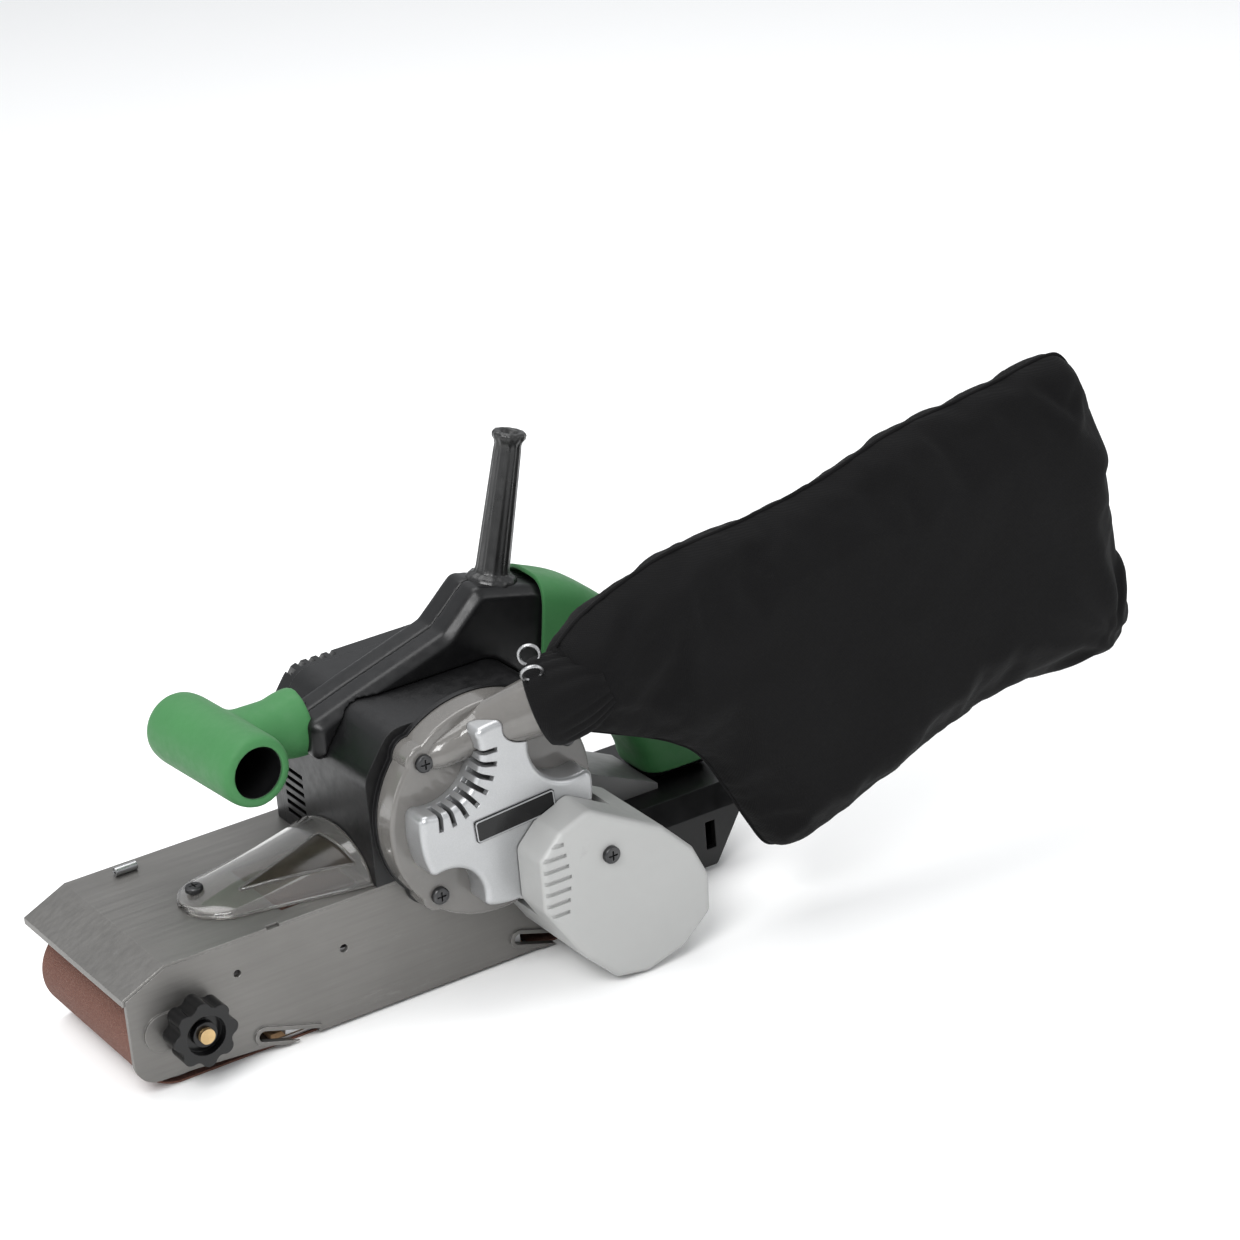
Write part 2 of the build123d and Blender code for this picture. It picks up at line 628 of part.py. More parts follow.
def fan_cover():
    """Smoky clear fan case with the dust duct that grows out of its top."""
    y1 = plate_out - 3
    body = slab(case_outline(), case_out, y1)
    rim = body.faces().sort_by(Axis.Y)[0].edges()
    body = fillet(rim, 2.0)
    reach = duct_end_r + clip_stand + clip_wire + 0.6
    body -= turned([(0, -9), (reach, -9), (reach, 20), (0, 20)], along(duct_end, duct_dir))
    inner = duct_form(-duct_wall, 1.0)
    body += duct_form() - block(body_x - 20, body_x + 140, y1, 40, 80, 200)
    cavity = rod(fan_case_r - 2.5, case_out + 2.2, y1 + 1, motor_x, motor_z)
    for x, z in fan_screws:
        cavity -= rod(5.5, case_out, y1 + 2, x, z)
    body -= cavity
    body -= inner - block(body_x - 20, body_x + 140, y1 - duct_wall, 40, 80, 200)
    body -= rod(12, case_out - 1, y1 + 1, motor_x, motor_z)
    body -= rod(9, case_out - 1, case_out + 2.0, gear_x, gear_z)
    body -= rod(25.8, plate_out - 4, y1, drive_x, roller_z)
    for x, z in fan_screws:
        body -= rod(screw_r, case_out - 1, y1 + 1, x, z)
    return body


def dust_fan():
    """Radial impeller: hub, back disc and curved blades."""
    y1 = plate_out - 4.5
    y0 = y1 - fan_width
    fan = rod(fan_r, y1 - 1.6, y1, motor_x, motor_z) + rod(9, y0, y1, motor_x, motor_z)
    for blade in range(9):
        vane = Pos(25, 0) * Rot(0, 0, 18) * Rectangle(30, 1.8)
        shape = Pos(motor_x, motor_z) * Rot(0, 0, 40 * blade) * vane
        fan += slab(shape & disc(fan_r, motor_x, motor_z), y0, y1)
    return fan - rod(5, y0 - 1, y1 + 1, motor_x, motor_z)


# ---- motor --------------------------------------------------------------------------
def armature_shaft():
    shaft = rod(5, plate_out - 14.0, 46, motor_x, motor_z)
    shaft += rod(3.5, gear_mid - gear_width / 2 - 1, plate_out - 14.0, motor_x, motor_z)
    return shaft + rod(4, 46, 53.3, motor_x, motor_z)


def armature_core():
    face = disc(armature_r, motor_x, motor_z)
    for slot in range(12):
        angle = radians(30 * slot)
        face -= Pos(motor_x + 12.5 * cos(angle), motor_z + 12.5 * sin(angle)) * Rot(
            0, 0, 30 * slot) * Rectangle(7, 2.0)
    return slab(face - disc(5, motor_x, motor_z), -30, 12)


def armature_windings():
    ends = []
    for y0, y1 in ((-39, -30), (12, 21)):
        ring = tube(13.5, 5, y0, y1, motor_x, motor_z)
        ends.append(fillet(ring.edges().filter_by(GeomType.CIRCLE).sort_by(SortBy.LENGTH)[-2:], 3))
    return Compound(children=ends)


def commutator():
    ring = tube(10, 5, 21, 38, motor_x, motor_z)
    for bar in range(18):
        angle = radians(20 * bar)
        x, z = motor_x + 10 * cos(angle), motor_z + 10 * sin(angle)
        slot = Pos(x, z) * Rot(0, 0, 20 * bar) * Rectangle(2, 0.6)
        ring -= slab(slot, 22, 39)
    return ring


def stator_core():
    gap = 0.6
    face = disc(stator_r, motor_x, motor_z) - disc(armature_r + gap, motor_x, motor_z)
    for side in (1, -1):
        face -= Pos(motor_x + side * 20.4, motor_z) * Rectangle(6.4, 20)
    return slab(face, -30, 12)


def field_coils():
    coils = []
    for side in (1, -1):
        x = motor_x + side * 20.4
        coils.append(block(x - 3.0, x + 3.0, -37, 19, motor_z - 9.6, motor_z + 9.6))
    return Compound(children=coils)


def brush_holders():
    parts = []
    for side in (1, -1):
        x = motor_x + side * 22
        holder = block(x - 10, x + 10, 25, 35, motor_z - 5, motor_z + 5)
        holder -= block(x - 11, x + 11, 27, 33, motor_z - 3.2, motor_z + 3.2)
        parts.append(holder)
    return Compound(children=parts)


def carbon_brushes():
    parts = []
    for side in (1, -1):
        x = motor_x + side * (10.3 + 8)
        parts.append(block(x - 8, x + 8, 27, 33, motor_z - 3.2, motor_z + 3.2))
    return Compound(children=parts)


def motor_bearings():
    near = bearing(14, 5 + run_fit, plate_out + 1, plate_out + 9, motor_x, motor_z)
    far = bearing(11, 4 + run_fit, 46.2, 53.3, motor_x, motor_z)
    return Compound(children=[near, far])


def housing_outline(shrink=0.0):
    r = shrink
    points = [(housing_front + r, guard_top + r), (housing_front + r, housing_top - 22),
              (housing_front + 16 + r * 0.3, housing_top - r),
              (housing_rear - 20 - r * 0.3, housing_top - r),
              (housing_rear - r, housing_top - 18), (housing_rear - r, guard_top + r)]
    face = Polygon(*points, align=None)
    upper = [v for v in face.vertices() if v.Y > 100]
    return fillet(upper, 14 - r)


def motor_housing():
    """Black motor housing standing on the guard, with a bearing wall and stator rings."""
    body = slab(housing_outline(), plate_out, housing_far)
    body -= slab(housing_outline(housing_wall), plate_out + 3, housing_far + 1)
    inner = housing_outline(housing_wall - 0.2)
    for y0, y1 in ((-26, -20), (2, 8)):
        body += slab(inner - disc(stator_r, motor_x, motor_z), y0, y1)
    body += rod(17, plate_out, plate_out + 9, motor_x, motor_z)
    body -= rod(14, plate_out + 1, plate_out + 10, motor_x, motor_z)
    body += fan_flange()
    body -= rod(7, plate_out - 4, plate_out + 2, motor_x, motor_z)
    for slot in range(6):
        z = 76 + 5.0 * slot
        body -= block(housing_front - 1, housing_front + 4, 14, 34, z, z + 2.4)
    return body


def motor_end_cover():
    """Far end cap with slots over its front upper corner and face."""
    y1 = housing_far + end_cover_depth
    body = slab(housing_outline(), housing_far, y1)
    rim = body.faces().sort_by(Axis.Y)[-1].edges()
    body = chamfer(rim, 9)
    body -= slab(housing_outline(housing_wall + 0.5), housing_far - 1, y1 - 9)
    body -= slab(housing_outline(12), y1 - 10, y1 - 2.5)
    body += tube(14, 11, 46.2, y1 - 2, motor_x, motor_z)
    for slot in range(5):
        x = housing_front + 14 + 6.0 * slot
        body -= block(x, x + 3, housing_far + 3, y1 + 1, 122, 160)
        z = 78 + 7 * slot
        body -= block(housing_rear - 28, housing_rear - 6, y1 - 6, y1 + 1, z, z + 3)
    return body


# ---- handles ------------------------------------------------------------------------
def handle_face(grow=0.0):
    """Side view of the spine over the motor and of the curved rear grip."""
    points = [(-5, 122), (-5, 143), (22, 152), (74, 168), (95, 187), (127, 179), (154, 166), (182, 140),
              (206, 104), (221, 70), (225, 47), (187, 47), (184, 68), (169, 98), (146, 123), (128, 133),
              (112, 124), (20, 124)]
    face = Pos(body_x, 0) * outline(points, 5)
    if grow:
        face = offset(face, amount=grow)
    return face


def handle_blank():
    """Solid handle form before it is split and hollowed."""
    body = slab(handle_face(), -handle_half, handle_half)
    rims = body.faces().sort_by(Axis.Y)
    body = chamfer(rims[0].edges() + rims[-1].edges(), 4.5)
    return body - slab(housing_outline(), plate_out, housing_far)


def trigger_block(depth, width, length, shift):
    """Block square to the trigger's travel, moved along it by shift."""
    place = Plane(origin=trigger_at + trigger_dir * shift, x_dir=(0, 1, 0), z_dir=trigger_dir)
    return place.location * Box(width, length, depth)


def handle_shells():
    """The two clamshell halves, hollow, with openings for the cord, trigger and lock."""
    blank = handle_blank()
    cavity = slab(handle_face(-handle_wall) - housing_outline(-handle_wall),
                  -handle_half + handle_wall, handle_half - handle_wall)
    cavity -= block(body_x + 60, body_x + 140, -20, 20, 171, 200)
    blank -= cavity
    blank -= along(cord_base - cord_dir * 30, cord_dir).location * Pos(0, 0, 30) * Cylinder(8.0, 60)
    blank -= trigger_block(34, 13, 31, 8)
    blank -= rod(4.8, -30, -8, *lock_at)
    near = blank & block(body_x - 60, body_x + 260, -40, 0, 0, 260)
    far = blank & block(body_x - 60, body_x + 260, 0, 40, 0, 260)
    return near, far


def rear_grip():
    """Green rubber skin moulded round the grip."""
    outer = slab(handle_face(grip_skin), -handle_half - grip_skin, handle_half + grip_skin)
    rims = outer.faces().sort_by(Axis.Y)
    outer = chamfer(rims[0].edges() + rims[-1].edges(), 4.9)
    region = Polygon((131, 200), (122, 150), (134, 126), (150, 112), (176, 60), (186, 54), (240, 54),
                     (240, 200), align=None)
    skin = (outer & slab(Pos(body_x, 0) * region, -40, 40)) - slab_filled()
    skin -= trigger_block(44, 14, 32, 4)
    return skin - rod(5.2, -30, -8, *lock_at)


def slab_filled():
    body = slab(handle_face(), -handle_half, handle_half)
    rims = body.faces().sort_by(Axis.Y)
    return chamfer(rims[0].edges() + rims[-1].edges(), 4.5)


def rear_foot():
    """Wide black foot behind the drive roller, under the grip."""
    x = foot_front - body_x
    points = [(x, 6), (x, 47), (225, 47), (227, 38), (206, 4), (x + 6, 4)]
    body = slab(outline(points, 2.5), -43, 43)
    body &= slab_x([(-43, 0), (43, 0), (43, 35), (31, 60), (-31, 60), (-43, 35)], 130, 240)
    hollow = slab(Polygon((x + 4, 9), (x + 4, 43), (221, 43), (222, 38), (203, 8), align=None), -39, 39)
    body -= hollow & block(100, 240, -39, 39, 0, 34)
    return Pos(body_x, 0, 0) * (body - block(200, 206, -50, -36, 14, 30))


def rear_bridge():
    """Grey bridge from the motor housing down to the foot."""
    r = housing_rear
    points = [(r, guard_top), (r, guard_top + 16), (r + 12, 77), (r + 34, 66), (r + 60, 54), (r + 68, 50),
              (r + 68, 47), (foot_front, 47), (foot_front, 53.2), (frame_rear + 1.0, 52.0),
              (r + 4, guard_top)]
    return slab(Polygon(*points, align=None), -22, 22)


def trigger():
    """Plain trigger with a rounded finger face."""
    body = trigger_block(16, 12, 29, 0)
    front = body.faces().sort_by(Axis(trigger_at, trigger_dir))[0]
    return fillet(front.edges(), 2.5)


def trigger_spring():
    start = trigger_at + trigger_dir * 8.6
    return helix_spring(3.4, 0.5, 1.8, 8.3, along(start, trigger_dir))


def switch_body():
    return trigger_block(12, 20, 22, 23.8)


def lock_button():
    x, z = lock_at
    button = rod(4.4, -handle_half - 4.5, -handle_half + 2.5, x, z)
    return fillet(button.faces().sort_by(Axis.Y)[0].edges(), 1.2)


def cord_guard():
    """Hollow rubber sleeve with a flared lip, empty of its cord."""
    profile = [(cord_bore_r, -22), (11, -22), (11, -18), (7.9, -18), (7.9, 0), (8.4, 2),
               (6.9, cord_length - 7),
               (6.6, cord_length - 5), (8.4, cord_length - 3), (8.4, cord_length - 1),
               (7.4, cord_length), (cord_bore_r, cord_length)]
    return turned(profile, along(cord_base, cord_dir))


def bar_plane():
    return along(bar_far, (bar_near - bar_far).normalized())


def front_grip_core():
    """Black inner tube of the cross bar with the stud that enters the housing."""
    length = (bar_near - bar_far).length
    r = bar_r - bar_skin
    tube_part = turned([(0, 0), (r, 0), (r, length - 2), (0, length - 2)], bar_plane())
    bore = r - bar_wall
    hole = turned([(0, bar_wall), (bore, bar_wall), (bore, length), (0, length)], bar_plane())
    neck = Pos(body_x - 22, 8, 137) * Rot(0, 90, 0) * Cylinder(9, 52)
    neck -= slab(housing_outline(), plate_out, housing_far) + slab_filled()
    return tube_part + neck - hole


def front_grip_cover():
    """Green rubber skin over the cross bar and its neck."""
    length = (bar_near - bar_far).length
    r = bar_r - bar_skin
    skin = turned([(0, -4), (10, -4), (bar_r - 1.5, 0.5), (bar_r, 8), (bar_r, length - 1.5),
                   (bar_r - 1.5, length), (0, length)], bar_plane())
    skin += Pos(body_x - 20, 8, 137) * Rot(0, 90, 0) * Cylinder(15.5, 50)
    skin -= slab(housing_outline(), plate_out, housing_far) + slab_filled()
    skin -= turned([(0, 0), (r, 0), (r, length + 1), (0, length + 1)], bar_plane())
    skin -= Pos(body_x - 20, 8, 137) * Rot(0, 90, 0) * Cylinder(9, 60)
    return skin


# ---- dust window, bag and small parts -----------------------------------------------
def window_blank(shrink):
    """Rounded wedge that rises to the motor housing."""
    x = housing_front
    plan = Pos(x - 60, -12) * Circle(26 - shrink)
    plan += Polygon((x - 66, 13.5 - shrink), (x, 30 - shrink), (x, shrink - 53), (x - 62, shrink - 38),
                    align=None)
    body = extrude(Pos(0, 0, guard_top) * plan, amount=40, dir=(0, 0, 1))
    roof = Polygon((x - 100, guard_top - 5), (x - 100, guard_top + 5 - shrink),
                   (x - 68, guard_top + 5 - shrink), (x + 10, guard_top + 21 - shrink),
                   (x + 10, guard_top - 5), align=None)
    return body & slab(roof, -60, 40)


def dust_window():
    body = window_blank(0)
    body -= window_blank(2.2)
    body += Pos(window_screw[0], window_screw[1], guard_top + 2.5) * Cylinder(4.5, 5.0)
    return body - Pos(window_screw[0], window_screw[1], guard_top) * Cylinder(screw_r, 20)


def cover_screws():
    """The case, belt cover and window screws are all of one size."""
    screws = [screw_y(x, case_out, z, 16) for x, z in fan_screws]
    screws.append(screw_y(cover_screw[0], cover_face_y, cover_screw[1], 14))
    window = Rot(-90, 0, 0) * screw_y(0, 0, 0, 8)
    screws.append(Pos(window_screw[0], window_screw[1], guard_top + 5.0) * window)
    return Compound(children=screws)


def bag_collar():
    """Elastic neck of the bag, round the end of the duct."""
    place = along(duct_end, duct_dir)
    return turned([(duct_end_r + bag_gap, -8), (duct_end_r + 2.6, -8), (duct_end_r + 2.6, 4),
                   (duct_end_r + bag_gap, 4)], place)


def bag_clip():
    """Wire spring clip round the neck with two finger loops."""
    up = Vector(0, 0, 1) - duct_dir * duct_dir.Z
    place = Plane(origin=duct_end - duct_dir * 4, x_dir=up, z_dir=duct_dir)
    ring = place.location * Torus(duct_end_r + clip_stand, clip_wire)
    loops = []
    for turn in (-2, 30):
        eye = Pos(duct_end_r + clip_stand + 5.8, 0, 0) * Rot(90, 0, 0) * Torus(5.2, clip_wire)
        arm = Rot(0, 0, turn) * eye
        loops.append(place.location * arm)
    return ring + loops


def dust_bag():
    """Cloth bag as one plain closed solid behind the duct."""
    middle = duct_end.Y - 4.5
    points = [(96, 138), (140, 120), (175, 92), (204, 36), (262, 47), (356, 76), (424, 82), (439, 108),
              (408, 250), (333, 242), (256, 225), (156, 212), (84, 180)]
    body = slab(Pos(body_x, 0) * outline(points, 12), middle - bag_half, middle + bag_half)
    rims = body.faces().sort_by(Axis.Y)
    body = chamfer(rims[0].edges() + rims[-1].edges(), 8)
    front = along(duct_end + duct_dir * 3, duct_dir)
    return bag_collar() + (body & (front.location * Pos(0, 0, 300) * Box(700, 700, 600)))


# ---- write every piece --------------------------------------------------------------
def build():
    near_shell, far_shell = handle_shells()
    parts = {
        "handle_shell_near": near_shell,
        "handle_shell_far": far_shell,
    }
    makers = [
        side_frame, belt_guard, guard_pin, platen_beam, cork_pad, platen_plate, abrasive_belt,
        idler_roller, idler_bearings, idler_shaft, idler_yoke, tension_carriage, tension_spring,
        tension_lever, tracking_washer, tracking_knob, tracking_screw, bearing_tube, drive_bearings,
        drive_shaft, drive_roller_core, drive_roller_sleeve, lower_pulley, timing_belt,
        gear_spindle, reduction_gear, pinion, gear_cover, gear_plate, badge_plate, belt_cover,
        fan_cover, dust_fan, armature_shaft, armature_core, armature_windings, commutator,
        stator_core, field_coils, brush_holders, carbon_brushes, motor_bearings, motor_housing,
        motor_end_cover, rear_grip, rear_foot, rear_bridge, trigger, trigger_spring, switch_body,
        lock_button, cord_guard, front_grip_core, front_grip_cover, dust_window, cover_screws,
        bag_clip, dust_bag,
    ]
    for maker in makers:
        parts[maker.__name__] = maker()
    return parts


if __name__ == "__main__":
    os.makedirs("parts", exist_ok=True)
    for name, shape in build().items():
        export_step(shape, f"parts/{name}.step")
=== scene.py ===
"""Looks for the handheld belt sander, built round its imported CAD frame.  Metres, row frame."""
import math

import bmesh
import bpy
from mathutils import Matrix, Vector, noise


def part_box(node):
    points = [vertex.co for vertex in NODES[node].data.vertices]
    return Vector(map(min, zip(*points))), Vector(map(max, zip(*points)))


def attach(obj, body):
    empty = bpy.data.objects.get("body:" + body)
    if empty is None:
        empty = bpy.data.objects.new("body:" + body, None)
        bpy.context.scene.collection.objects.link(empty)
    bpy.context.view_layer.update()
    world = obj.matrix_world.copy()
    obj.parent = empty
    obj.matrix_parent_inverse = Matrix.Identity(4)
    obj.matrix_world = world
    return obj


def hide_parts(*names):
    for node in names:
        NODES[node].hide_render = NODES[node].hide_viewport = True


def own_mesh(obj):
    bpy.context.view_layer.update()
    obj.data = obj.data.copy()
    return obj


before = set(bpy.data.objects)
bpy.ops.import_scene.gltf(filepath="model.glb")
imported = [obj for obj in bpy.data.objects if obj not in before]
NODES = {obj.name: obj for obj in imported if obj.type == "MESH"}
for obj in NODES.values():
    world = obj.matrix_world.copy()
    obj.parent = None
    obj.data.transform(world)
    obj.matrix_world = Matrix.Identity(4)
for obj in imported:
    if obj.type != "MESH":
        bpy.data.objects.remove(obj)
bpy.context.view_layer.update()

MM = 0.001               # every size below is in millimetres until it is multiplied by this


# ---- material building --------------------------------------------------------------
class Mat:
    """A Principled material with helpers for its procedural detail."""

    def __init__(self, name, color, rough, metal=0.0, **sockets):
        self.mat = bpy.data.materials.new(name)
        self.mat.use_nodes = True
        self.mat.diffuse_color = (*color, 1)
        self.tree = self.mat.node_tree
        self.nodes = self.tree.nodes
        self.bsdf = self.nodes["Principled BSDF"]
        self.color = color
        self.rough = rough
        self.bsdf.inputs["Base Color"].default_value = (*color, 1)
        self.bsdf.inputs["Roughness"].default_value = rough
        self.bsdf.inputs["Metallic"].default_value = metal
        for key, value in sockets.items():
            self.bsdf.inputs[key.replace("_", " ")].default_value = value
        self.normal = None
        self.color_out = None
        self.rough_out = None
        self.coord = self.nodes.new("ShaderNodeTexCoord")

    def link(self, a, b):
        self.tree.links.new(a, b)

    def new(self, kind, **values):
        node = self.nodes.new(kind)
        for key, value in values.items():
            setattr(node, key, value)
        return node

    def math(self, operation, a, b):
        node = self.new("ShaderNodeMath", operation=operation)
        for slot, value in enumerate((a, b)):
            if isinstance(value, (int, float)):
                node.inputs[slot].default_value = value
            else:
                self.link(value, node.inputs[slot])
        return node.outputs[0]

    def mapped(self, stretch):
        mapping = self.new("ShaderNodeMapping")
        mapping.inputs["Scale"].default_value = stretch
        self.link(self.coord.outputs["Object"], mapping.inputs["Vector"])
        return mapping.outputs[0]

    def noise(self, scale, detail=4.0, rough=0.55, stretch=(1, 1, 1), low=0.35, high=0.65):
        node = self.new("ShaderNodeTexNoise")
        node.inputs["Scale"].default_value = scale
        node.inputs["Detail"].default_value = detail
        node.inputs["Roughness"].default_value = rough
        self.link(self.mapped(stretch), node.inputs["Vector"])
        return self.ranged(node.outputs["Fac"], low, high, 0, 1)

    def cells(self, scale, stretch=(1, 1, 1), feature="F1"):
        node = self.new("ShaderNodeTexVoronoi", feature=feature)
        node.inputs["Scale"].default_value = scale
        self.link(self.mapped(stretch), node.inputs["Vector"])
        return node.outputs["Distance"]

    def wave(self, scale, axis, stretch=(1, 1, 1), distortion=0.0):
        node = self.new("ShaderNodeTexWave", bands_direction=axis, wave_profile="SIN")
        node.inputs["Scale"].default_value = scale
        node.inputs["Distortion"].default_value = distortion
        self.link(self.mapped(stretch), node.inputs["Vector"])
        return node.outputs["Fac"]

    def ranged(self, source, a, b, c, d):
        node = self.new("ShaderNodeMapRange")
        for key, value in (("From Min", a), ("From Max", b), ("To Min", c), ("To Max", d)):
            node.inputs[key].default_value = value
        self.link(source, node.inputs["Value"])
        return node.outputs["Result"]

    def tint(self, mask, color, strength=1.0):
        """Mix a second colour in where the mask is high."""
        mix = self.new("ShaderNodeMix", data_type="RGBA", blend_type="MIX")
        self.link(self.math("MULTIPLY", mask, strength), mix.inputs["Factor"])
        if self.color_out is None:
            mix.inputs["A"].default_value = (*self.color, 1)
        else:
            self.link(self.color_out, mix.inputs["A"])
        mix.inputs["B"].default_value = (*color, 1)
        self.color_out = mix.outputs["Result"]
        return self

    def roughen(self, mask, amount):
        """Add amount to the roughness where the mask is high."""
        base = self.rough if self.rough_out is None else self.rough_out
        self.rough_out = self.math("ADD", self.math("MULTIPLY", mask, amount), base)
        return self

    def bump(self, height, distance, strength=1.0):
        node = self.new("ShaderNodeBump")
        node.inputs["Strength"].default_value = strength
        node.inputs["Distance"].default_value = distance
        self.link(height, node.inputs["Height"])
        if self.normal is not None:
            self.link(self.normal, node.inputs["Normal"])
        self.normal = node.outputs["Normal"]
        return self

    def edges(self, radius, color, strength, rough=0.0):
        """Worn or catching edges, broken up by noise, and a softened edge normal.

        The two cosines are between the true and the softened normal, where wear starts and is full.
        """
        soft = self.new("ShaderNodeBevel", samples=4)
        soft.inputs["Radius"].default_value = radius
        geo = self.new("ShaderNodeNewGeometry")
        dot = self.new("ShaderNodeVectorMath", operation="DOT_PRODUCT")
        self.link(soft.outputs["Normal"], dot.inputs[0])
        self.link(geo.outputs["Normal"], dot.inputs[1])
        wear_starts, wear_full = 0.985, 0.80
        edge = self.ranged(dot.outputs["Value"], wear_starts, wear_full, 0, 1)
        broken = self.math("MULTIPLY", edge, self.noise(900, 3, 0.6, low=0.36, high=0.58))
        self.tint(broken, color, strength)
        if rough:
            self.roughen(broken, rough)
        if self.normal is None:
            self.normal = soft.outputs["Normal"]
        return self

    def done(self):
        if self.color_out is not None:
            self.link(self.color_out, self.bsdf.inputs["Base Color"])
        if self.rough_out is not None:
            self.link(self.rough_out, self.bsdf.inputs["Roughness"])
        if self.normal is not None:
            self.link(self.normal, self.bsdf.inputs["Normal"])
        return self.mat


def sheet_steel():
    m = Mat("sheet_steel", (0.165, 0.160, 0.152), 0.40, 0.75)
    m.edges(0.7 * MM, (0.50, 0.49, 0.475), 0.8, -0.1)
    brushed = m.noise(420, 6, 0.65, (0.05, 1, 1))
    m.tint(brushed, (0.205, 0.199, 0.190), 0.8)
    m.tint(m.noise(14, 4, 0.6), (0.14, 0.136, 0.129), 0.5)
    m.roughen(brushed, 0.10)
    m.tint(m.noise(60, 8, 0.8, (0.2, 1, 1), 0.62, 0.70), (0.27, 0.266, 0.258), 0.35)
    return m.bump(brushed, 0.02 * MM, 0.5).bump(m.noise(2400, 2), 0.01 * MM, 0.4).done()


def silver_paint():
    m = Mat("silver_paint", (0.41, 0.415, 0.42), 0.34, 0.75, Coat_Weight=0.2, Coat_Roughness=0.22)
    m.edges(0.8 * MM, (0.62, 0.63, 0.64), 0.5)
    m.tint(m.noise(9, 3), (0.37, 0.375, 0.38), 0.5)
    flake = m.cells(2600)
    m.tint(m.ranged(flake, 0.15, 0.55, 1, 0), (0.60, 0.61, 0.62), 0.28)
    m.roughen(m.noise(120, 5), 0.08)
    m.tint(m.noise(45, 8, 0.75, low=0.64, high=0.72), (0.42, 0.42, 0.42), 0.25)
    return m.bump(m.noise(1500, 3), 0.015 * MM, 0.5).bump(m.noise(70, 2), 0.06 * MM, 0.35).done()


def light_plastic():
    m = Mat("light_plastic", (0.37, 0.372, 0.365), 0.42, 0.1)
    m.edges(0.8 * MM, (0.48, 0.48, 0.47), 0.5)
    m.tint(m.noise(12, 4), (0.335, 0.337, 0.33), 0.5)
    m.tint(m.noise(55, 8, 0.75, low=0.62, high=0.72), (0.27, 0.27, 0.265), 0.3)
    m.roughen(m.noise(200, 5), 0.1)
    return m.bump(m.cells(1500), 0.02 * MM, 0.35).bump(m.noise(40, 2), 0.08 * MM, 0.3).done()


def black_plastic(name="black_plastic", tone=0.0048, rough=0.29, grain=1300, depth=0.04):
    m = Mat(name, (tone, tone, tone * 1.06), rough, 0.0, Specular_IOR_Level=0.34)
    m.edges(0.7 * MM, (0.035, 0.035, 0.037), 0.5, 0.08)
    m.tint(m.noise(20, 5), (tone * 1.7, tone * 1.7, tone * 1.8), 0.6)
    m.tint(m.noise(70, 9, 0.8, low=0.62, high=0.74), (0.02, 0.02, 0.02), 0.3)
    m.roughen(m.noise(160, 5), 0.12)
    return m.bump(m.cells(grain), depth * MM, 0.45).bump(m.noise(50, 2), 0.1 * MM, 0.25).done()


def grey_plastic():
    m = Mat("grey_plastic", (0.20, 0.20, 0.198), 0.45)
    m.edges(0.7 * MM, (0.34, 0.34, 0.34), 0.5)
    m.tint(m.noise(18, 5), (0.165, 0.165, 0.163), 0.6)
    m.roughen(m.noise(160, 5), 0.12)
    return m.bump(m.cells(1300), 0.04 * MM, 0.4).done()


def green_rubber():
    m = Mat("green_rubber", (0.038, 0.165, 0.050), 0.55, 0.0, Sheen_Weight=0.05, Sheen_Roughness=0.5,
            Specular_IOR_Level=0.35)
    m.edges(0.9 * MM, (0.065, 0.225, 0.085), 0.5)
    m.tint(m.noise(16, 5), (0.031, 0.136, 0.042), 0.6)
    m.tint(m.noise(60, 9, 0.8, low=0.6, high=0.75), (0.075, 0.22, 0.092), 0.3)
    m.roughen(m.noise(220, 5), 0.14)
    return m.bump(m.cells(1100), 0.06 * MM, 0.5).bump(m.noise(40, 2), 0.1 * MM, 0.3).done()


def black_rubber():
    m = Mat("black_rubber", (0.008, 0.008, 0.008), 0.26, 0.0, Specular_IOR_Level=0.5)
    m.edges(0.6 * MM, (0.04, 0.04, 0.04), 0.5)
    m.tint(m.noise(30, 6), (0.016, 0.016, 0.016), 0.6)
    m.roughen(m.noise(150, 5), 0.16)
    return m.bump(m.noise(900, 4), 0.05 * MM, 0.5).done()


def smoke_plastic():
    m = Mat("smoke_plastic", (0.27, 0.258, 0.243), 0.10, 0.0, Transmission_Weight=0.50, IOR=1.46,
            Coat_Weight=0.4, Coat_Roughness=0.06)
    m.tint(m.noise(22, 6, 0.65), (0.215, 0.205, 0.193), 0.7)
    m.tint(m.noise(90, 8, 0.75, low=0.55, high=0.75), (0.33, 0.318, 0.30), 0.4)
    m.roughen(m.noise(60, 6, 0.7), 0.10)
    return m.bump(m.noise(35, 2), 0.10 * MM, 0.35).done()


def clear_plastic():
    m = Mat("clear_plastic", (0.72, 0.70, 0.67), 0.05, 0.0, Transmission_Weight=0.92, IOR=1.46,
            Coat_Weight=0.3, Coat_Roughness=0.04)
    m.tint(m.noise(26, 6, 0.65), (0.62, 0.60, 0.57), 0.6)
    m.roughen(m.noise(60, 6, 0.7), 0.06)
    return m.bump(m.noise(30, 2), 0.08 * MM, 0.3).done()


def facet_painted_shade():
    # Opaque and dark: this colour is painted shade, standing in for the shaded chute seen through the window.
    m = Mat("facet_painted_shade", (0.020, 0.017, 0.014), 0.16, 0.0, Specular_IOR_Level=0.30)
    m.tint(m.noise(40, 5), (0.050, 0.042, 0.033), 0.6)
    m.roughen(m.noise(90, 5), 0.08)
    return m.bump(m.noise(60, 2), 0.05 * MM, 0.3).done()


